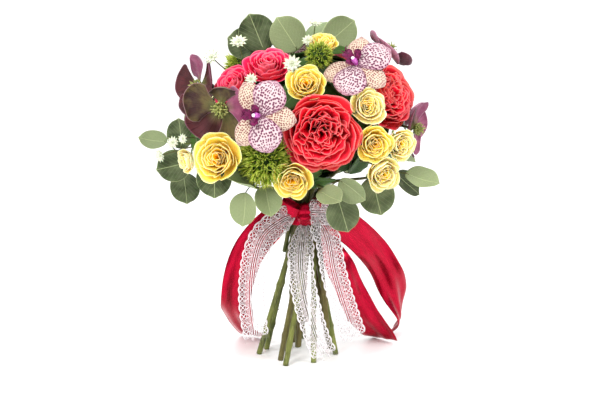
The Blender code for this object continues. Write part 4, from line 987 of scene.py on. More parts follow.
def leaf_finish(name, low, high, reverse, vein, rough, side_veins):
    """A leaf: midrib, side veins that leave it at a slant, cells between them and a paler back."""
    paint = Paint(name, low, Specular_IOR_Level=0.12, Subsurface_Weight=0.08, Subsurface_Scale=0.002,
                  Subsurface_Radius=(0.5, 1.0, 0.2))
    slant = paint.math("MULTIPLY_ADD", paint.off, -1.1, paint.along)
    saw = paint.math("PINGPONG", paint.math("MULTIPLY", slant, side_veins), 0.5)
    side = paint.math("MULTIPLY", paint.span(saw, 0.07, 0.0), 0.28)
    rib = paint.math("MAXIMUM", paint.span(paint.off, 0.014, 0.006), side)
    cells = paint.noise(26.0, paint.uv, 4)
    paint.tint(high, 1.0, paint.tone, 0.0, 1.0)
    paint.tint(high, 0.35, paint.clouds(60.0, 2), 0.35, 0.7)
    paint.tint(reverse, 0.8, paint.face, 0.6, 0.4)
    paint.tint(DARK_CELL, 0.16, cells, 0.3, 0.7)
    paint.tint(vein, 0.7, paint.math("MAXIMUM", rib, paint.rim(0.48, 0.975)))
    height = paint.math("ADD", rib, paint.math("MULTIPLY", cells, 0.4))
    return paint.grained(cells, rough - 0.06, rough + 0.1, 0.0005, 0.6, height)


STEM = stem_finish("stem", (0.062, 0.080, 0.012), (0.185, 0.215, 0.042), (0.34, 0.36, 0.13))
CALYX = leaf_finish("calyx", (0.13, 0.21, 0.04), (0.22, 0.33, 0.08), (0.26, 0.36, 0.14),
                    (0.36, 0.45, 0.18), 0.5, 6)
ROSE_LEAF = leaf_finish("rose_leaf", (0.018, 0.055, 0.012), (0.05, 0.11, 0.022),
                        (0.11, 0.17, 0.07), (0.16, 0.24, 0.09), 0.34, 12)
GUM_LEAF = leaf_finish("eucalyptus_leaf", (0.028, 0.038, 0.016), (0.250, 0.295, 0.150),
                       (0.27, 0.33, 0.18), (0.42, 0.47, 0.24), 0.55, 7)
print("finishes:", ", ".join(finish.name for finish in (STEM, CALYX, ROSE_LEAF, GUM_LEAF)))

# %% [markdown]
# ## Eucalyptus
# The leaves of silver dollar eucalyptus are nearly round, hollowed like a spoon and bloomy. A square
# grid is pressed to a disc, which keeps its cells even, and a small point is drawn out at the tip.
# Each leaf hangs on its own short stalk.


# %% Grow the eucalyptus
LEAF_THICKNESS = 0.0005


def disc_leaf(draw, fold, rows=19, columns=19):
    u, v = lattice(rows, columns)
    w = 2 * v - 1
    x = u * np.sqrt(1 - w * w / 2)
    y = w * np.sqrt(1 - u * u / 2)
    wave = np.sin(draw.uniform(2, 4) * x + draw.uniform(0, 6))
    wave = 0.05 * (wave + np.sin(draw.uniform(3, 5) * y + draw.uniform(0, 6)))
    point = 0.09 * np.exp(-((x / 0.16) ** 2)) * np.clip(y, 0, 1) ** 6
    z = 0.16 * (x * x + 0.6 * y * y) + wave * (x * x + y * y) + fold * np.abs(x)
    return np.stack([x * (1 - 0.25 * fold), 1.04 * y + point, z], -1)


def leaf_place(centre, tip, faces):
    """The matrix of a leaf: +X its side, +Y its tip and +Z its face."""
    normal = Vector(faces).normalized()
    tip = Vector(tip)
    tip = (tip - normal * tip.dot(normal)).normalized()
    return Matrix.Translation(AXIS + Vector(centre)) @ turned(tip.cross(normal), tip, normal)


def hang_leaf(mould, leaf, joint, draw, finish):
    """A leaf and the stalk that carries it from the joint on its branch."""
    radius = leaf.across / 2
    place = leaf_place(leaf.centre, leaf.tip, leaf.faces)
    grid = disc_leaf(draw, leaf.fold) * radius
    mould.blade(grid, LEAF_THICKNESS, leaf.tone, 0.5, finish, place)
    start = AXIS + joint
    base = place @ Vector((0, -1.02 * radius, 0.11 * radius))
    end = place @ Vector((0, -0.8 * radius, 0.08 * radius))
    bend = start + (base - start) * 0.5 + UP * 0.05 * (base - start).length
    path = [start, start.lerp(bend, 0.6), base.lerp(bend, 0.6), base, end]
    mould.tube(refined(path, 0.002)[0], 0.0007, 6, 0.2)


def grow_eucalyptus(spray):
    draw = draw_for(spray.name)
    mould = Mould(STEM, GUM_LEAF)
    run, lean = lower_stem(SLOTS[spray.name], SHORT_STEM)
    rise = bezier(run[-1], run[-1] + lean * 0.03, Vector(spray.bulge), Vector(spray.tip), 5)
    grow_stalk(mould, run[:-1] + rise, 0.0027, 0.0013, draw)
    for i, leaf in enumerate(spray.leaves):
        knot = min(range(2, 6), key=lambda k: (rise[k] - Vector(leaf.centre)).length)
        joint = rise[knot].lerp(rise[knot - 1], 0.06 + 0.05 * i)
        hang_leaf(mould, leaf, joint, draw, 1)
    mould.cast(spray.name + ".leaves", spray.name, slot="eucalyptus_leaf")


for spray in EUCALYPTUS:
    grow_eucalyptus(spray)


# %% [markdown]
# ## Leaves and thorns
# A rose leaf is a pointed oval, folded along its midrib, with a toothed rim. The stems carry such
# leaves under the head, where they close the gaps between the flowers. They are drawn at random
# along a stem and face out of the bunch. One that would stand in the cup of a flower is left out.


# %% Leaves and thorns on a stem
def toothed_leaf(draw, length, width, rows=17, columns=9):
    """A pointed oval leaf with a folded midrib, a waved rim and small teeth."""
    u, v = lattice(rows, columns)
    half = width / 2 * np.sin(math.pi * np.clip(v, 0.01, 0.985) ** 0.85) ** 0.75
    half = half * (1 + 0.05 * np.cos(np.arange(rows) * math.pi))[:, None]
    arch = draw.uniform(-0.25, -0.05)
    z = 0.25 * np.abs(u) * half + arch * length * v**2 + 0.002 * ripple(u, v, draw, 3) * np.abs(u)
    return np.stack([u * half, length * v, z], -1)


LEAF_ROOM = Vector((0, 0, 0.275))
LEAVES_FROM = 0.225
LEAVES_ALONG = (0.62, 0.90)
LEAF_LENGTHS = (0.034, 0.048)
THORN_STEP = 8


def clear_of_flowers(base, way, length):
    """False where a leaf from base along way would stand in the cup of a flower."""
    for flower in FLOWERS.values():
        foot, faces = AXIS + foot_of(flower), way_of(flower)
        for share in (0.0, 0.33, 0.66, 1.0):
            gap = base + way * length * share - foot
            ahead = gap.dot(faces)
            if ahead > -0.004 and (gap - faces * ahead).length < flower.across * 0.54:
                return False
    return True


def dress_stem(mould, line, draw, count, finish):
    """Rose leaves along the upper part of a stem, each facing out of the bunch."""
    for _ in range(count):
        spot = Vector(line[int(len(line) * draw.uniform(*LEAVES_ALONG))])
        out = (spot - AXIS - LEAF_ROOM).normalized()
        side = out.cross(UP).normalized() * draw.choice((-1, 1))
        way = side * draw.uniform(0.5, 1.0) + UP * draw.uniform(-0.5, 0.8)
        way += out * draw.uniform(0.0, 0.35)
        way.normalize()
        face = (out + way * draw.uniform(-0.2, 0.2)).normalized()
        length = draw.uniform(*LEAF_LENGTHS)
        if spot.z < LEAVES_FROM or not clear_of_flowers(spot, way, length):
            continue
        place = leaf_place(spot - AXIS + way * 0.006, way, face)
        leaf = toothed_leaf(draw, length, length * 0.62)
        mould.blade(leaf, LEAF_THICKNESS, draw.random(), 0.5, finish, place)
        mould.tube([spot, spot + way * 0.004, spot + way * 0.009], 0.0008, 6, 0.2)


def square_to(way, draw):
    """A random way at right angles to another."""
    side = way.orthogonal().normalized()
    side.rotate(Matrix.Rotation(draw.uniform(0, math.tau), 3, way))
    return side


def thorns(mould, line, radius, draw):
    """Small thorns that point a little downwards."""
    for i in range(draw.randint(3, 7), len(line) - 3, THORN_STEP):
        way = Vector(line[i + 1] - line[i - 1]).normalized()
        out = square_to(way, draw)
        foot = Vector(line[i]) + out * radius * 0.8
        path = [foot, foot + out * 0.0013, foot + out * 0.0024 - way * 0.0012]
        mould.tube(path, [0.0010, 0.0006, 0.0001], 6, 0.9)


# %% [markdown]
# A stem with one flower is a single stalk. A stem of spray roses or hellebores goes up to a fork,
# and a thinner branch leads from there to each flower. Every branch comes to its flower along the
# way that the flower faces, so that it meets the calyx squarely.


# %% Grow the flower stems
def grow_stem(stem):
    draw = draw_for(stem.name)
    mould = Mould(STEM, CALYX, ROSE_LEAF)
    run, lean = lower_stem(SLOTS[stem.name], stem.foot, stem.gain)
    top = run[-1]
    starts = [(run, top, lean, STEM_RADIUS)]
    if stem.fork:
        fork = Vector(stem.fork)
        reach = (fork - top).length
        way = (fork - top).normalized()
        rise = bezier(top, top + lean.normalized() * reach * 0.4, fork - (fork - top) * 0.3, fork, 5)
        line = grow_stalk(mould, run + rise[1:], STEM_RADIUS, STEM_RADIUS * 0.9, draw)
        dress_stem(mould, line, draw, 4, 2)
        starts = [([], fork - way * 2 * BRANCH_RADIUS, way, BRANCH_RADIUS)] * len(stem.flowers)
    for (below, start, way, radius), name in zip(starts, stem.flowers):
        flower = FLOWERS[name]
        faces = way_of(flower)
        end = foot_of(flower)
        rise = sweep_to(start, way.normalized(), 0.42, end - faces * NECK, faces, 0.42, 6)
        line = grow_stalk(mould, below[:-1] + rise + [end], radius, radius * 0.85, draw)
        if flower.kind != "hellebore":
            calyx(mould, flower, radius, 1)
            thorns(mould, line, radius, draw)
        dress_stem(mould, line, draw, 2 if stem.fork else 5, 2)
    mould.cast(stem.name + ".green", stem.name, slot="stem_green")


for stem in STEMS:
    grow_stem(stem)

# %% [markdown]
# ## Orchids
# A moth orchid has three sepals behind, two broad round petals in front of them and a small lip with
# two raised side lobes and two short tendrils at its tip. The column with its white cap stands over
# the lip. All blades are grown along +Y by one formula and then turned into place.


# %% Grow the orchids
def oval(widest, roundness, root=0.0):
    """A half width along a blade: widest at `widest`, with blunt ends for a small roundness."""
    power = math.log(0.5) / math.log(widest)

    def half_width(v):
        ends = np.clip(v, 0.004, 0.996)
        return np.sin(math.pi * ends ** power) ** roundness + root * (1 - v) ** 2
    return half_width


def free_blade(draw, length, width, outline, rise, trough, ruffle, waves, rows=13, columns=13):
    """A blade along +Y. rise is its height at a third, two thirds and its tip, in lengths."""
    u, v = lattice(rows, columns)
    half = width / 2 * outline(v)
    first, second, tip = rise
    height = 3 * first * v * (1 - v) ** 2 + 3 * second * v * v * (1 - v) + tip * v**3
    wave = ruffle * length * ripple(u, v, draw, waves) * np.abs(u)
    height = length * height + trough * half * u * u + wave
    return np.stack([u * half, length * v + 0.3 * wave, height], -1)


def spun(grid, degrees, lift=0.0, out=0.0):
    """The blade turned about the flower's axis. It points along +Y before that."""
    turn = np.array(Matrix.Rotation(math.radians(degrees - 90), 3, "Z"))
    return (grid + (0, out, lift)) @ turn.T


ORCHID_THICKNESS = 0.0007
CAP_RADIUS = 0.0021


def grow_orchid(flower, finishes):
    draw = draw_for(flower.name)
    mould = Mould(*finishes)
    place = stand(flower)
    size = flower.across
    for turn in (90, 212, 328):
        grid = free_blade(draw, 0.485 * size, 0.33 * size, oval(0.56, 0.66, 0.12), (0.06, 0.10, -0.06),
                          -0.30, 0.04, 2.5)
        grid = spun(grid, turn + draw.uniform(-4, 4), 0.0022)
        mould.blade(grid, ORCHID_THICKNESS, draw.random(), 0.0, 0, place)
    for turn in (22, 158):
        grid = free_blade(draw, 0.50 * size, 0.45 * size, oval(0.58, 0.62, 0.08), (0.12, 0.16, 0.0),
                          -0.26, 0.05, 3.0, 15, 17)
        grid = spun(grid, turn + draw.uniform(-4, 4), 0.0046)
        mould.blade(grid, ORCHID_THICKNESS, draw.random(), 1.0, 1, place)
    for side in (-1, 1):
        grid = free_blade(draw, 0.13 * size, 0.10 * size, oval(0.6, 0.6), (0.35, 0.8, 1.0),
                          0.5, 0.05, 3, 9, 9)
        mould.blade(spun(grid, 270 + side * 62, 0.006, 0.002), SEPAL_THICKNESS, 0.3, 0.2, 2, place)
    grid = free_blade(draw, 0.20 * size, 0.15 * size, oval(0.72, 0.5, 0.3), (0.30, 0.55, 0.35),
                      0.5, 0.06, 3, 11, 11)
    mould.blade(spun(grid, 270, 0.006, 0.002), SEPAL_THICKNESS, 0.6, 0.8, 2, place)
    for side in (-1, 1):
        tendril = [(side * x, -y * size, z) for x, y, z in
                   ((0.001, 0.19, 0.016), (0.003, 0.21, 0.019), (0.005, 0.20, 0.023))]
        mould.tube(tendril, [0.0008, 0.0005, 0.0002], 6, 0.4, 0.5, 2, place)
    column = [(0, -0.001, 0.003), (0, -0.002, 0.007), (0, -0.0035, 0.0105), (0, -0.005, 0.0125)]
    mould.tube(column, [0.0026, 0.0030, 0.0034, 0.0022], 12, 0.4, 0.5, 3, place)
    steps = np.linspace(-1, 1, 8)
    cap = np.array([(0, 0, step * CAP_RADIUS * 0.9) for step in steps]) + (0, -0.0052, 0.0128)
    widths = CAP_RADIUS * np.sqrt(np.maximum(1 - steps**2, 0.01))
    mould.tube(cap, widths, 10, 0.5, 0.5, 4, place)
    run, lean = lower_stem(SLOTS[flower.name], SHORT_STEM)
    rise = sweep_to(run[-1], lean.normalized(), 0.42, foot_of(flower), way_of(flower), 0.40, 7)
    line = grow_stalk(mould, run[:-1] + rise, 0.0026, 0.0017, draw, 5)
    dress_stem(mould, line, draw, 3, 6)
    mould.cast(flower.name + ".bloom", flower.name, slot="orchid_petal")


# %% [markdown]
# The spots of an orchid are drops of dark purple on lilac petals, and of brown purple on cream
# sepals. They stand in uneven rows along the blade, small at its tip and larger towards the heart.
# Voronoi cells in the UV plane give one drop a cell.


# %% Finish of the orchids
def spotted_finish(name, ground, edge, spot, columns, rows, scatter, largest):
    paint = Paint(name, ground, Specular_IOR_Level=0.12, Subsurface_Weight=0.1,
                  Subsurface_Scale=0.002, Subsurface_Radius=(1.0, 0.5, 0.6))
    plane = {"Vector": paint.stretched((columns, rows, 1)), "Scale": 1.0, "Randomness": scatter}
    cells = paint.node("TexVoronoi", plane, voronoi_dimensions="2D").outputs["Distance"]
    limit = paint.math("ADD", paint.span(paint.along, 1.0, 0.1, largest * 0.68, largest),
                       paint.span(paint.noise(5.0, paint.uv, 2), 0.3, 0.7, -0.05, 0.05))
    veins = paint.fibres(30, 2, 3, 0.3)
    paint.tint(edge, 0.6, paint.rim(0.34, 0.80))
    paint.tint(edge, 0.18, veins, 0.35, 0.65)
    paint.tint(spot, 0.92, paint.math("SUBTRACT", cells, limit), 0.06, -0.06)
    paint.tint(spot, 0.8, paint.along, 0.14, 0.0)
    return paint.grained(veins, 0.42, 0.6, 0.0005, 0.4)


def speckled_finish(name, low, high, rough):
    """Fine flecks of one colour on another, for small parts."""
    paint = Paint(name, low, Specular_IOR_Level=0.2)
    flecks = paint.clouds(420.0)
    paint.tint(high, 1.0, flecks, 0.35, 0.65)
    paint.tint(high, 0.25, paint.tone, 0.0, 1.0)
    return paint.grained(flecks, rough, rough + 0.15, 0.0004, 0.6)


STALK = stem_finish("flower_stalk", (0.11, 0.17, 0.03), (0.20, 0.27, 0.06), (0.30, 0.36, 0.14))
ORCHID_FINISHES = (
    spotted_finish("orchid_sepal", (0.60, 0.49, 0.37), (0.50, 0.34, 0.32), (0.17, 0.025, 0.035),
                   11, 15, 0.45, 0.42),
    spotted_finish("orchid_petal", (0.61, 0.49, 0.49), (0.46, 0.20, 0.30), (0.10, 0.002, 0.045),
                   13, 13, 0.60, 0.44),
    speckled_finish("orchid_lip", (0.045, 0.002, 0.020), (0.17, 0.008, 0.070), 0.35),
    speckled_finish("orchid_column", (0.30, 0.02, 0.24), (0.55, 0.16, 0.48), 0.4),
    speckled_finish("orchid_cap", (0.80, 0.72, 0.80), (0.92, 0.88, 0.90), 0.4),
    STALK,
    ROSE_LEAF,
)
for flower in FLOWERS.values():
    if flower.kind == "orchid":
        grow_orchid(flower, ORCHID_FINISHES)

# %% [markdown]
# ## Hellebores
# What looks like five petals are sepals, broad and overlapping, in smoky purple over green, with fine
# veins and a pale rim. In the middle stand five carpels with curved beaks, a ring of small green
# tubes and the stamens. A flower that is seen from the side is flatter or bent back a little.


# %% Grow the hellebores
STAMEN_TURN = 2.39996


def grow_hellebore(name, sepals, heart, reaches, cup):
    """sepals holds the finish of each of the five, reaches their lengths and cup how far they rise."""
    flower = FLOWERS[name]
    draw = draw_for(name)
    finishes = list(dict.fromkeys(sepals)) + [heart]
    mould = Mould(*finishes)
    place = stand(flower)
    size = flower.across / 2

    def heart_part(turn, path, radii, sides, tone):
        """A small tube. Its path is pairs of the way out and up."""
        way = np.array((math.cos(turn), math.sin(turn), 0))
        points = [way * out + (0, 0, up) for out, up in path]
        mould.tube(points, radii, sides, tone, 0.0, len(finishes) - 1, place, size)

    for i, (skin, reach) in enumerate(zip(sepals, reaches)):
        open_by = cup + draw.uniform(-0.10, 0.14)
        belly, rim = (0.60 * reach, 0.02 + open_by), (0.98 * reach, 0.24 + 1.5 * open_by)
        grid = cup_petal(draw, math.radians(90 + 72 * i), 1.0, (0.05, 0.02), belly, rim,
                         0.34, -0.10, 0.04, 0.06, 3, 15, 21)
        u, v = lattice(15, 21)
        grid[..., 2] += 0.11 * u * v + 0.05 * np.cos(2.2 * math.pi * u) * v * (1 - v)
        mould.blade(grid * size, SEPAL_THICKNESS, draw.random(), 0.5, finishes.index(skin), place)
    for i in range(5):
        path = (0.03, 0), (0.06, 0.14), (0.05, 0.27), (0.13, 0.34)
        heart_part(FIFTH * i + 0.4, path, (0.045, 0.05, 0.025, 0.008), 8, 0.2)
    for i in range(14):
        path = (0.10, 0), (0.16, 0.07), (0.17, 0.13)
        heart_part(i * math.tau / 14, path, (0.012, 0.024, 0.030), 7, 0.5)
    for i in range(26):
        reach, high = draw.uniform(0.12, 0.24), draw.uniform(0.14, 0.24)
        path = (0.08, 0.03), (reach * 0.6, high), (reach, high * 1.05), (reach + 0.02, high * 1.05)
        heart_part(i * STAMEN_TURN, path, (0.006, 0.005, 0.015, 0.008), 5, 1.0)
    mould.cast(name + ".bloom", name, slot="hellebore_petal")


# %% [markdown]
# The veins of a sepal run from its root to its rim. An even saw across the blade, shaken by noise,
# gives such lines. The root is green, the back paler, and clouds of a second colour lie on the
# face. Sepals of three colours are mixed in a flower, as the real ones age unevenly.


# %% Finish of the hellebores
def sepal_finish(name, face, deep, reverse, vein, rim):
    paint = Paint(name, face, Specular_IOR_Level=0.15, Subsurface_Weight=0.06, Subsurface_Scale=0.002)
    net = paint.fibres(16, 3, 5, 1.2)
    saw = paint.math("PINGPONG", paint.math("MULTIPLY", paint.across, 9.0), 0.5)
    lines = paint.span(paint.math("ADD", saw, paint.math("MULTIPLY", net, 0.25)), 0.20, 0.12)
    paint.tint(deep, 1.0, paint.clouds(55.0), 0.35, 0.65)
    paint.tint((0.16, 0.20, 0.06), 0.7, paint.along, 0.45, 0.0)
    paint.tint(reverse, 0.8, paint.face, 0.6, 0.4)
    paint.tint(vein, 0.45, lines)
    paint.tint(rim, 0.6, paint.rim(0.47, 0.96))
    return paint.grained(net, 0.38, 0.55, 0.0005, 0.6, paint.math("ADD", lines, net))


SEPALS = {
    "olive": sepal_finish("hellebore_olive", (0.045, 0.020, 0.020), (0.125, 0.095, 0.038),
                          (0.13, 0.09, 0.05), (0.020, 0.006, 0.012), (0.34, 0.20, 0.22)),
    "mauve": sepal_finish("hellebore_mauve", (0.31, 0.095, 0.165), (0.20, 0.045, 0.095),
                          (0.36, 0.16, 0.22), (0.10, 0.015, 0.055), (0.52, 0.32, 0.42)),
    "dark": sepal_finish("hellebore_dark", (0.048, 0.014, 0.015), (0.088, 0.022, 0.026),
                         (0.12, 0.04, 0.06), (0.02, 0.003, 0.010), (0.24, 0.10, 0.15)),
}
CARPEL = speckled_finish("hellebore_heart", (0.12, 0.17, 0.03), (0.42, 0.42, 0.14), 0.45)
EVEN = (1, 1, 1, 1, 1)
HELLEBORES = {
    "hellebore_left_front": ("olive olive dark olive mauve", (0.70, 1.0, 1.05, 0.95, 0.85), 0.0),
    "hellebore_left_back": ("mauve dark dark olive dark", EVEN, -0.06),
    "hellebore_right_top": ("mauve mauve dark mauve dark", EVEN, -0.06),
    "hellebore_right_low": ("mauve dark dark mauve mauve", EVEN, -0.14),
    "hellebore_back": ("olive mauve dark olive mauve", EVEN, 0.0),
}
for name, (tints, reaches, cup) in HELLEBORES.items():
    grow_hellebore(name, [SEPALS[tint] for tint in tints.split()], CARPEL, reaches, cup)

# %% [markdown]
# ## Green dianthus
# The head is a ball of soft green needles without petals. Each sprig is a tuft of curved needles,
# painted dark at the root for the shade inside the ball and bright at the tip for the light on it.
# One needle is made once and scattered over the ball.


# %% Grow the dianthus
def needle(bend):
    """A curved three sided needle, one unit long along +Z, with a closed foot."""
    rings = ((0.0, 0.0, 0.045), (0.30, 0.25 * bend, 0.060), (0.66, 0.62 * bend, 0.042))
    points, uv = [], []
    for height, shift, radius in rings:
        for corner in range(3):
            turn = corner * math.tau / 3
            points.append((shift + radius * math.cos(turn), radius * math.sin(turn), height))
            uv.append((corner / 3, height))
    points.append((bend, 0, 1.0))
    uv.append((0.5, 1.0))
    sides = ((0, 1), (1, 2), (2, 0))
    walls = [(r + a, r + b, r + 3 + b, r + 3 + a) for r in (0, 3) for a, b in sides]
    ends = [(6 + a, 6 + b, 9) for a, b in sides] + [(2, 1, 0)]
    return np.array(points), (walls, ends), np.array(uv)


def ball_spots(count):
    """Evenly spread directions, by the golden angle."""
    i = np.arange(count)
    z = 1 - (2 * i + 1) / count
    turn = i * math.pi * (3 - math.sqrt(5))
    flat = np.sqrt(1 - z * z)
    return np.stack([flat * np.cos(turn), flat * np.sin(turn), z], -1)


NEEDLES_IN_SPRIG = 17
CORE_STEPS = np.linspace(-1, 1, 11)


def grow_dianthus(name, sprigs, finishes):
    centre, across = DIANTHUS[name]
    centre = Vector(centre)
    draw = draw_for(name)
    mould = Mould(*finishes)
    core = [(AXIS + centre) + UP * (across * 0.36 * step) for step in CORE_STEPS]
    widths = across * 0.36 * np.sqrt(np.maximum(1 - CORE_STEPS ** 2, 0.01))
    mould.tube(core, widths, 20, 0.0, 0.0, 2)
    matrices, tones = [], []
    for spot in ball_spots(sprigs):
        way = Vector(spot)
        root = AXIS + centre + way * across * 0.33
        for _ in range(NEEDLES_IN_SPRIG):
            lean = Vector([draw.uniform(-1, 1) for _ in range(3)])
            ahead = (way + lean * 0.62).normalized()
            side = square_to(ahead, draw)
            turn = turned(side, ahead.cross(side), ahead)
            size = Matrix.Scale(across * draw.uniform(0.15, 0.30), 4)
            matrices.append(Matrix.Translation(root + lean * 0.0006) @ turn @ size)
            tones.append(draw.random())
    mould.scatter(*needle(0.28), matrices, tones)
    run, lean = lower_stem(SLOTS[name], SHORT_STEM)
    top = run[-1]
    pull = lean.normalized() * (centre - top).length * 0.4
    rise = bezier(top, top + pull, centre.lerp(top, 0.25), centre, 5)
    line = grow_stalk(mould, run[:-1] + rise, 0.0027, 0.0020, draw, 1)
    dress_stem(mould, line[:-8], draw, 4, 3)
    mould.cast(name + ".head", name, slot="dianthus_green")


# %% [markdown]
# A ramp along each needle paints shade at its dark root, deep in the ball, and light at its bright
# tip. The tone drawn for a needle makes some of them greener. The ball inside is painted very dark:
# a painted shade for the depth between the needles.


# %% Finish of the dianthus
def needle_finish():
    paint = Paint("dianthus_needles", Specular_IOR_Level=0.15, Subsurface_Weight=0.08,
                  Subsurface_Scale=0.001)
    flecks = paint.clouds(300.0, 2)
    length = paint.math("ADD", paint.along, paint.span(flecks, 0.3, 0.7, -0.15, 0.15))
    # painted shade and painted light: darkest at the root, deep in the ball, and brightest at the tip,
    # where the light falls
    paint.colour = paint.ramp(length, (0.02, (0.030, 0.060, 0.004)), (0.40, (0.20, 0.30, 0.014)),
                              (0.95, (0.60, 0.66, 0.11)))
    paint.tint((0.12, 0.24, 0.015), 0.35, paint.tone, 0.5, 1.0)
    return paint.grained(flecks, 0.5, 0.7, 0.0003, 0.4)


NEEDLES = needle_finish()
# painted shade: the core is near black, for the depth between the needles
DIANTHUS_CORE = speckled_finish("dianthus_core", (0.008, 0.022, 0.002), (0.035, 0.075, 0.008), 0.7)
for name, sprigs in (("dianthus_front", 95), ("dianthus_top", 40), ("dianthus_back", 70)):
    grow_dianthus(name, sprigs, (NEEDLES, STALK, DIANTHUS_CORE, ROSE_LEAF))

# %% [markdown]
# Dark leaves fill the bunch behind the flowers, all the way round, so that no light shows through
# the head. Each faces outwards, and its stalk grows from the nearest stem further in.

# %% Fill the bunch with leaves
HEAD_MIDDLE = Vector((-0.004, -0.010, 0.290))
HEAD_REACH = Vector((0.125, 0.098, 0.090))
FILLER_SPOTS = 300
FILLER_LENGTHS = (0.040, 0.054)


def fill_head(finishes):
    draw = draw_for("filler")
    mould = Mould(*finishes)
    stems = np.concatenate(GREEN_LINES)
    for spot in ball_spots(FILLER_SPOTS):
        if spot[2] < -0.62:
            continue
        depth = draw.uniform(0.66, 0.86)
        centre = HEAD_MIDDLE + Vector([spot[k] * HEAD_REACH[k] * depth for k in range(3)])
        out = Vector(spot)
        side = out.cross(UP).normalized()
        way = (side * draw.uniform(-1, 1) + out.cross(side) * draw.uniform(-1, 1)).normalized()
        face = (out + way * draw.uniform(-0.3, 0.2)).normalized()
        length = draw.uniform(*FILLER_LENGTHS)
        if not clear_of_flowers(AXIS + centre - way * length / 2, way, length):
            continue
        place = leaf_place(centre - way * length / 2, way, face)
        leaf = toothed_leaf(draw, length, length * draw.uniform(0.62, 0.8), 11, 7)
        mould.blade(leaf, LEAF_THICKNESS, draw.random(), 0.5, 1, place)
        base = AXIS + centre - way * length / 2
        inside = np.array(tuple(base - out * 0.02))
        joint = Vector(stems[np.argmin(np.linalg.norm(stems - inside, axis=1))])
        bend = joint.lerp(base, 0.5) - way * 0.006
        mould.tube(refined([joint, bend, base, base + way * 0.004], 0.003)[0], 0.0008, 6, 0.2)
    mould.cast("rose_leaves.filler", slot="stem_green")


fill_head((STEM, ROSE_LEAF))

# %% [markdown]
# ## Masterwort
# Each star is a collar of narrow pointed bracts in two layers, greenish white with green veins and
# tips, round a dome of small florets on threads. Three stars share one forked stem.


# %% Grow the masterwort
BRACT_THICKNESS = 0.00035


def grow_star(mould, draw, centre, faces, across):
    place = pose(centre, faces, draw.uniform(0, 60))
    radius = across / 2
    for layer, (count, reach, rise) in enumerate(((11, 1.0, 0.24), (9, 0.82, 0.40))):
        for i in range(count):
            grid = free_blade(draw, reach * radius, 0.34 * radius, oval(0.45, 0.85, 0.35),
                              (0.10, rise * 0.8, rise), 0.25, 0.03, 2, 8, 5)
            turn = 360 * (i + 0.5 * layer) / count + draw.uniform(-5, 5)
            grid = spun(grid, turn, 0.0002 + 0.0004 * layer)
            mould.blade(grid, BRACT_THICKNESS, draw.random(), 0.5, 0, place)
    widths = np.array((0.012, 0.010, 0.035, 0.042, 0.015)) * radius
    for spot in ball_spots(64):
        if spot[2] < 0.12:
            continue
        tip = spot * radius * draw.uniform(0.48, 0.64)
        path = [spot * radius * 0.06, tip * 0.6, tip * 0.93, tip, tip * 1.04]
        mould.tube(path, widths, 5, 1.0, 1.0, 1, place)


def grow_masterwort(name, finishes):
    fork, stars = MASTERWORT[name]
    fork = Vector(fork)
    draw = draw_for(name)
    mould = Mould(*finishes)
    run, lean = lower_stem(SLOTS[name], SHORT_STEM)
    top = run[-1]
    rise = bezier(top, top + lean * 0.05, fork - (fork - top) * 0.25, fork, 4)
    grow_stalk(mould, run[:-1] + rise, 0.0024, 0.0014, draw, 2)
    outward = (fork - rise[-2]).normalized()
    for centre, faces, across in stars:
        faces = Vector(faces).normalized()
        end = Vector(centre) + faces * 0.0004
        stalk = sweep_to(fork - outward * 0.003, outward, 0.3, end, faces, 0.4, 6)
        grow_stalk(mould, stalk, 0.0010, 0.0006, draw, 2, 7, False)
        grow_star(mould, draw, centre, faces, across)
    mould.cast(name + ".stars", name, slot="masterwort_white")


def bract_finish(name):
    paint = Paint(name, Specular_IOR_Level=0.35, Subsurface_Weight=0.1, Subsurface_Scale=0.001)
    veins = paint.fibres(9, 1.5, 3, 0.4)
    paint.colour = paint.ramp(paint.along, (0.0, (0.42, 0.50, 0.24)), (0.45, (0.66, 0.67, 0.55)),
                              (0.85, (0.62, 0.65, 0.50)), (1.0, (0.30, 0.42, 0.14)))
    paint.tint((0.36, 0.46, 0.22), 0.5, veins, 0.5, 0.72)
    return paint.grained(veins, 0.5, 0.7, 0.0003, 0.5)


FLORET = speckled_finish("masterwort_floret", (0.70, 0.68, 0.52), (0.90, 0.88, 0.80), 0.6)
for name in MASTERWORT:
    grow_masterwort(name, (bract_finish(name + "_bract"), FLORET, STALK))

# %% [markdown]
# ## Ribbons
# Two ribbons are tied round the bunch: smooth crimson satin, 38 mm wide, and white lace, 32 mm wide.
# Every tail is gathered in the knot, opens within a few centimetres and hangs with soft waves. A
# `Band` is such a tail as an even grid, laid over the same turns as the solid ribbon: the places of
# its middle line and the way across it. It can say where any point of the flat ribbon has come to
# lie, which is what the lace is drawn with.

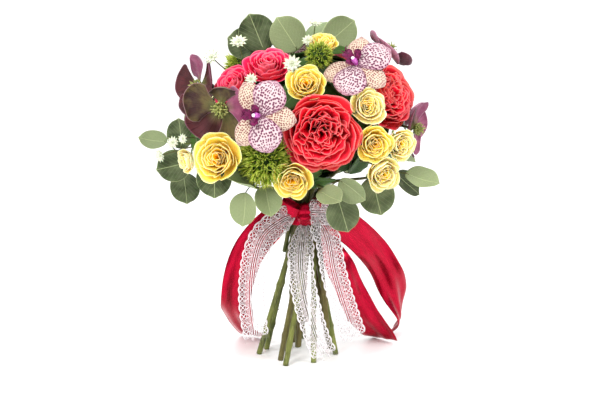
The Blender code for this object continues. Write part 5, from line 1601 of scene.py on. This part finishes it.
# %% The ribbon tails
SATIN_WIDTH = 0.038
LACE_WIDTH = 0.032
SATIN_TAILS = {
    "satin_tail_left": (
        ((-0.0140, -0.0182, 0.179), (0, 0, 1)),
        ((-0.036, -0.0380, 0.172), (-0.5, 0.1, 0.85)),
        ((-0.062, -0.0400, 0.142), (-0.83, 0.05, 0.55)),
        ((-0.076, -0.0330, 0.104), (-0.97, -0.1, 0.2)),
        ((-0.081, -0.0130, 0.066), (-0.95, -0.2, 0)),
        ((-0.076, 0.0180, 0.030), (-0.95, 0.3, 0.05)),
        ((-0.062, 0.0560, 0.0020), (-0.9, 0.35, 0.05)),
    ),
    "satin_tail_right": (
        ((0.0176, -0.0148, 0.180), (0, 0, 1)),
        ((0.040, -0.0200, 0.172), (0.45, 0, 0.85)),
        ((0.072, 0.0020, 0.142), (0.7, 0.1, 0.65)),
        ((0.098, 0.0300, 0.104), (0.85, 0, 0.5)),
        ((0.116, 0.0560, 0.060), (0.8, 0.45, 0.5)),
        ((0.124, 0.0700, 0.024), (0.25, 0.9, 0.38)),
        ((0.115, 0.0770, 0.0056), (0.3, 0.9, 0.2)),
    ),
    "satin_tail_low": (
        ((0.0227, -0.0053, 0.172), (0.22, 0.97, 0)),
        ((0.034, -0.0090, 0.134), (0.5, 0.85, 0.3)),
        ((0.054, -0.0050, 0.090), (0.8, 0.4, 0.5)),
        ((0.074, 0.0160, 0.042), (0.75, 0.1, 0.5)),
        ((0.104, 0.0440, 0.0020), (0.7, -0.65, 0.05)),
    ),
}
LACE_TAILS = {
    "lace_tail_left": (
        ((-0.0094, -0.0266, 0.180), (0.1, 0.2, 1)),
        ((-0.026, -0.0450, 0.177), (-0.35, 0, 0.9)),
        ((-0.047, -0.0510, 0.160), (-0.83, 0, 0.55)),
        ((-0.058, -0.0510, 0.126), (-1, 0, 0.15)),
        ((-0.061, -0.0490, 0.080), (-1, 0, 0)),
        ((-0.055, -0.0470, 0.030), (-1, 0, -0.3)),
    ),
    "lace_tail_centre": (
        ((0.0010, -0.0234, 0.1668), (1, 0, 0)),
        ((-0.003, -0.0460, 0.124), (1, -0.1, 0.0)),
        ((0.004, -0.0580, 0.082), (1, -0.1, 0.15)),
        ((0.016, -0.0660, 0.042), (1, -0.1, 0.35)),
        ((0.028, -0.0680, 0.014), (1, 0, 0.45)),
    ),
    "lace_tail_right": (
        ((0.0138, -0.0266, 0.179), (0.6, 0.75, 0)),
        ((0.028, -0.0430, 0.158), (0.9, 0.1, 0.45)),
        ((0.036, -0.0480, 0.116), (1, 0.1, 0.2)),
        ((0.048, -0.0480, 0.074), (1, 0.1, 0.3)),
        ((0.062, -0.0440, 0.032), (1, 0.1, 0.45)),
    ),
}


print(len(SATIN_TAILS), "satin tails,", len(LACE_TAILS), "lace tails")


# %% [markdown]
# A cloth simulation would let a tail fall its own way. Here a curve is led through the turns
# instead, so that each tail hangs as in the picture. Its points are set at even distances, which
# keeps the weave even, and waves of the cloth are added across it, away from the knot.


# %% Lay a ribbon tail
def catmull(values, t):
    """A smooth curve through the values, at t from 0 to 1."""
    values = np.asarray(values, float)
    spot = np.asarray(t) * (len(values) - 1)
    i = np.minimum(spot.astype(int), len(values) - 2)
    f = (spot - i)[..., None]
    before, here = values[np.maximum(i - 1, 0)], values[i]
    after, beyond = values[i + 1], values[np.minimum(i + 2, len(values) - 1)]
    return (here * 2 + (after - before) * f + (before * 2 - here * 5 + after * 4 - beyond) * f**2
            + (here * 3 - before - after * 3 + beyond) * f**3) / 2


class Band:
    """A ribbon tail as an even grid of points, from the knot (row 0) to its cut end."""

    def __init__(self, name, turns, width, wave, waves, columns=25, spacing=0.0018):
        draw = draw_for(name)
        fine = np.linspace(0, 1, 600)
        centres, ways = zip(*turns)
        line = catmull(centres, fine)
        along = distances(line)
        self.length, self.width = along[-1], width
        rows = int(self.length / spacing) + 1
        t = np.interp(np.linspace(0, self.length, rows), along, fine)
        centre = catmull(centres, t)
        across = unit(catmull([Vector(way).normalized() for way in ways], t))
        normal = unit(np.cross(across, np.gradient(centre, axis=0)))
        u, v = lattice(rows, columns)
        half = width / 2 * np.minimum(1, 0.4 + 4 * t)[:, None]
        pleat = np.clip(1 - 5.5 * t, 0, 1)[:, None] * np.clip(t * 26, 0, 1)[:, None]
        lift = 0.0018 * pleat * np.sin(3.2 * math.pi * u + 0.6)
        free = np.clip(4 * (v - 0.12), 0, 1) * np.clip(6 * (1 - v) + 0.3, 0, 1)
        pace = draw.uniform(0.9, 1.1) * waves
        phase = draw.uniform(0, math.tau)
        edge = np.sin(pace * math.tau * v + phase) * u
        edge = edge + 0.5 * np.cos(1.7 * pace * math.tau * v + phase) * (u * u - 0.3)
        lift = lift + wave * free * edge
        lift = lift + 0.35 * wave * free * np.sin(2.4 * math.pi * u + 3 * v + phase)
        self.grid = centre[:, None] + across[:, None] * (u * half)[..., None]
        self.grid = self.grid + normal[:, None] * lift[..., None] + np.array(tuple(AXIS))
        self.normal = normals_of(self.grid)

    def at(self, across, along, lift=0.0):
        """Where the point of the flat ribbon `across` (-1 to 1) and `along` (metres) lies."""
        rows, columns = self.grid.shape[:2]
        row = np.clip(along / self.length * (rows - 1), 0, rows - 1.001)
        column = np.clip((across + 1) / 2 * (columns - 1), 0, columns - 1.001)
        i, j = row.astype(int), column.astype(int)
        f, g = (row - i)[..., None], (column - j)[..., None]
        points = 0
        for grid, share in ((self.grid, 1.0), (self.normal, lift)):
            low = grid[i, j] * (1 - g) + grid[i, j + 1] * g
            high = grid[i + 1, j] * (1 - g) + grid[i + 1, j + 1] * g
            points = points + share * (low * (1 - f) + high * f)
        return points


# %% [markdown]
# Satin has long floats of thread on its face, which give it a broad sheen that is stretched across
# them. A partly metallic shade with a fine grain along the threads does the same. The woven edge is
# a little darker.


# %% Hang the satin tails
def satin_finish(name, *threads):
    """threads is how many there are across the cloth and along it."""
    paint = Paint(name, (0.31, 0.0002, 0.013), Specular_IOR_Level=0.22, Metallic=0.72,
                  Anisotropic=0.4, Sheen_Weight=0.12, Sheen_Roughness=0.25,
                  Sheen_Tint=(1.0, 0.5, 0.58, 1))
    weave = paint.fibres(*threads)
    paint.tint((0.50, 0.0010, 0.032), 1.0, weave, 0.35, 0.65)
    paint.tint((0.27, 0.0005, 0.010), 0.35, paint.clouds(45.0), 0.35, 0.7)
    paint.tint((0.30, 0.002, 0.015), 0.7, paint.off, 0.475, 0.482)
    return paint.grained(weave, 0.20, 0.30, 0.0003, 0.35)


SATIN = satin_finish("satin", 260, 14)
WOUND_SATIN = satin_finish("satin_wound", 16, 320)
for name, turns in SATIN_TAILS.items():
    band = Band(name, turns, SATIN_WIDTH, 0.0036, 2.2)
    mould = Mould(SATIN)
    mould.blade(band.grid, 0.0006)
    tail = mould.cast(name + ".cloth", name, slot="satin_red")

# %% [markdown]
# The tie itself is the satin wound round the stems, so its face has slanting creases. The knot in
# front is a tight wrap over a narrower one, and a small loop of satin stands out of it on each side.


# %% Tie the satin
def wound_band(rows=13, columns=120):
    turn = np.linspace(0, math.tau, columns + 1)
    v, turn = np.meshgrid(np.linspace(0, 1, rows), turn, indexing="ij")
    crease = 0.0
    for slope, count, deep in ((1.0, 3.4, 0.45), (-0.8, 5.1, 0.25), (0.4, 8.3, 0.15)):
        crease = crease + deep * np.abs(np.sin(math.pi * count * v + slope * np.sin(turn + count)))
    radius = TIE_RADIUS + 0.0002 - 0.0011 * crease * np.sin(math.pi * v) ** 0.3
    height = WAIST + (v - 0.5) * TIE_HEIGHT * (1 + 0.03 * np.sin(3 * turn))
    return np.stack([AXIS.x + radius * np.cos(turn), AXIS.y + radius * np.sin(turn), height], -1)


def knot_wrap(centre, size, rows=25, columns=41):
    """A puffed wrap of cloth with folds that run over it."""
    down = math.pi * np.linspace(0.02, 0.98, rows)
    down, turn = np.meshgrid(down, np.linspace(0, math.tau, columns), indexing="ij")
    fold = 1 + 0.13 * np.sin(5 * turn + 3 * np.sin(down)) + 0.07 * np.sin(9 * turn + 2.0)
    ring = np.sin(down) ** 0.7 * fold
    shape = np.cos(down), ring * np.cos(turn), ring * np.sin(turn)
    return np.stack([s * side for s, side in zip(size, shape)], -1) + np.array(tuple(centre))


def loop_of_cloth(foot, way, across, reach, width, rows=25, columns=11):
    """A small loop: out from the knot and back into it."""
    u, v = lattice(rows, columns)
    way, across = Vector(way).normalized(), Vector(across).normalized()
    up = way.cross(across)
    turn = math.pi * (0.12 + 1.76 * v)
    out = reach * (0.5 - 0.5 * np.cos(turn))
    high = reach * 0.32 * np.sin(turn)
    half = width / 2 * (0.45 + 0.55 * np.sin(math.pi * v))
    return np.stack([foot[k] + out * way[k] + high * up[k] + u * half * across[k]
                     for k in range(3)], -1)


KNOT = AXIS + Vector((0.002, -TIE_RADIUS - 0.0036, WAIST + 0.002))
KNOT_SHIFT = Vector((0.0005, 0.0008, 0.0))
LOOPS = (
    ((0.004, 0.002, 0.004), (0.75, -0.35, 0.65), (0.3, 0.9, 0.2), 0.022, 0.016),
    ((-0.005, 0.000, 0.002), (-0.9, -0.15, 0.35), (0.35, -0.25, 0.9), 0.026, 0.019),
)
mould = Mould(WOUND_SATIN, SATIN)
mould.blade(wound_band(), 0.0012)
mould.blade(knot_wrap(KNOT, (0.0085, 0.0060, 0.0122)), 0.0008, finish=1)
mould.blade(knot_wrap(KNOT + KNOT_SHIFT, (0.0046, 0.0068, 0.0128)), 0.0008, finish=1)
for shift, way, across, reach, width in LOOPS:
    mould.blade(loop_of_cloth(KNOT + Vector(shift), way, across, reach, width), 0.0005, finish=1)
mould.cast("satin_tie.wound", "satin_tie", slot="satin_red")

# %% [markdown]
# ## Lace
# The lace is a fine net with thick threads worked over it. One repeat is 10.6 mm long. Two cords
# run down the middle, and on each side of them stand half round fans of close net. Beyond the fans
# are rings with a small flower of four petals, and both edges are scalloped. The pattern is drawn
# flat, as lines in millimetres, and each line is then laid on the hanging ribbon as a real thread.

# %% Draw one repeat of the lace
LACE_REPEAT = 0.0106
PITCH = LACE_REPEAT * 1000
EDGE = 15.3
SCALLOP_DEPTH = 1.9
FAN_FOOT, FAN_REACH = 3.2, 4.6
CORD_AT, FLOWER_AT = 1.15, 10.9
RING = (3.6, 4.1)
THREAD_LIFT = 0.00025


def arc(x, y, radius_x, radius_y, start, end, steps):
    turn = np.radians(np.linspace(start, end, steps + 1))
    return np.stack([x + radius_x * np.cos(turn), y + radius_y * np.sin(turn)], -1)


def scallop_at(y):
    """How far the edge of the lace stands from its middle, in millimetres."""
    return EDGE - SCALLOP_DEPTH * (1 - np.abs(np.sin(math.pi * y / PITCH)) ** 0.8)


def lace_repeat():
    """One side of one repeat: lines of points (across, along) and a thread's radius, in millimetres."""
    y = np.linspace(0, PITCH, 15)
    half = PITCH / 2
    lines = [
        (np.stack([scallop_at(y), y], -1), 0.62),
        ([(CORD_AT, 0), (CORD_AT, half), (CORD_AT, PITCH)], 0.60),
        ([(FAN_FOOT, 0), (FAN_FOOT, half), (FAN_FOOT, PITCH)], 0.24),
        (arc(FLOWER_AT, half, *RING, 0, 360, 18), 0.42),
        (arc(FLOWER_AT, half, 0.5, 0.5, 0, 360, 6), 0.60),
    ]
    for middle, start, end in ((0, 0, 90), (PITCH, -90, 0)):
        lines.append((arc(FAN_FOOT, middle, FAN_REACH, 4.9, start, end, 7), 0.46))
        lines.append(([(FAN_FOOT + FAN_REACH, middle), (scallop_at(0), middle)], 0.34))
    for k in range(4):
        a = math.radians(90 * k + 45)
        tip = (FLOWER_AT + RING[0] * math.cos(a), half + RING[1] * math.sin(a))
        lines.append(([(FLOWER_AT, half), tip], 0.50))
    return [(np.array(line, float), radius) for line, radius in lines]


LACE_LINES = lace_repeat()
print(len(LACE_LINES), "lines a side in a repeat")


# %% [markdown]
# Each thread is a three sided strip of small thickness that lies on the net. A line is laid for all
# repeats of a tail at once, in one array.


# %% Work the lace
def work_threads(mould, band):
    repeats = int(band.length / LACE_REPEAT)
    starts = np.arange(repeats)[:, None] * LACE_REPEAT
    for line, radius in LACE_LINES:
        count = len(line)
        ahead = unit(np.gradient(line, axis=0))
        beside = np.stack([-ahead[:, 1], ahead[:, 0]], -1) * radius
        ridge = THREAD_LIFT + radius * 0.001
        for side in (-1, 1):
            corners = []
            for shift, lift in ((beside, THREAD_LIFT), (-beside, THREAD_LIFT), (0 * beside, ridge)):
                flat = line + shift
                across = side * flat[:, 0] / (LACE_WIDTH / 2 * 1000)
                along = np.clip(starts + flat[:, 1] / 1000, 0, band.length)
                corners.append(band.at(np.broadcast_to(across, along.shape), along, lift))
            index = np.arange(repeats * count * 3).reshape(repeats, count, 3)[:, :, ::side]
            here, there = index[:, :-1], index[:, 1:]
            wall = np.stack([here, np.roll(here, -1, 2), np.roll(there, -1, 2), there], -1)
            ends = [index[:, 0, ::-1].reshape(-1, 3), index[:, -1].reshape(-1, 3)]
            uv = np.zeros((index.size, 2))
            uv[:, 1] = np.tile(np.repeat(np.linspace(0, 1, count), 3), repeats)
            points = np.stack(corners, 2).reshape(-1, 3)
            mould.add(points, [wall.reshape(-1, 4)] + ends, uv, (radius, 1, 0.5))


# %% [markdown]
# The net is too fine to lay thread by thread. So it is one blade, cut along the scallops, and its
# finish lets the light through between the threads: much in the open ground, little in the fans.


# %% Lay the net and the threads
NET_PITCH = 0.9
MESHES = 1000 * math.pi / NET_PITCH


def net_finish(name, length):
    """A net in two slanting ways, close in the fans and open elsewhere."""
    paint = Paint(name, (0.78, 0.71, 0.73), Roughness=0.8)
    x = paint.math("MULTIPLY", paint.across, LACE_WIDTH * MESHES)
    y = paint.math("MULTIPLY", paint.along, length * MESHES)
    off = paint.math("MULTIPLY", paint.off, LACE_WIDTH * 1000)
    step = paint.math("PINGPONG", paint.math("MULTIPLY", paint.along, length * 1000), PITCH / 2)
    squares = [paint.math("POWER", leg, 2) for leg in (paint.math("SUBTRACT", off, FAN_FOOT), step)]
    fan = paint.math("SQRT", paint.math("ADD", *squares))
    close = paint.math("MULTIPLY", paint.span(fan, 4.7, 4.3), paint.span(off, 2.9, 3.3))
    slants = [paint.math("SINE", paint.math(way, x, y)) for way in ("ADD", "SUBTRACT")]
    thread = paint.math("MINIMUM", *[paint.math("ABSOLUTE", slant) for slant in slants])
    thread = paint.span(thread, 0.40, 0.12)
    share = paint.math("MULTIPLY", paint.span(close, 0.0, 1.0, 0.02, 0.40),
                       paint.span(thread, 0.0, 1.0, 0.6, 1.3))
    paint.tint((0.70, 0.63, 0.65), 1.0, paint.clouds(70.0), 0.3, 0.7)
    return paint.wear(Alpha=share, Normal=paint.bump(thread, 0.0002, 0.4))


def thread_finish():
    paint = Paint("lace_thread", (0.81, 0.77, 0.78), Sheen_Weight=0.3)
    twist = paint.clouds(900.0)
    paint.tint((0.73, 0.68, 0.70), 1.0, twist, 0.3, 0.7)
    return paint.grained(twist, 0.65, 0.85, 0.0003, 0.6)


THREAD = thread_finish()
LACE_LOOP = (
    ((0.0070, -0.0300, 0.1830), (0, 0, 1)),
    ((0.0150, -0.0350, 0.1850), (-0.1, 0, 1)),
    ((0.0280, -0.0365, 0.1850), (-0.2, 0, 1)),
    ((0.0330, -0.0290, 0.1830), (-0.2, 0, 1)),
    ((0.0210, -0.0250, 0.1810), (-0.1, 0, 1)),
)


def lay_lace(name, turns, held, *nodes):
    """One length of lace: its net, and its threads as a piece of their own."""
    band = Band(name, turns, LACE_WIDTH, 0.0016, 2.1)
    u, v = lattice(*band.grid.shape[:2])
    scallop = (scallop_at(v * band.length * 1000) - 0.3) / (LACE_WIDTH * 500)
    net = Mould(net_finish(name + "_net", band.length))
    net.blade(band.at(u * scallop, v * band.length), 0.0003)
    threads = Mould(THREAD)
    work_threads(threads, band)
    worked = threads.cast(name + ".threads", slot="lace_white")
    ground = net.cast(name + ".net", *nodes, slot="lace_white")


for name, turns in LACE_TAILS.items():
    lay_lace(name, turns, "hung", name)
lay_lace("lace_loop", LACE_LOOP, "folded")
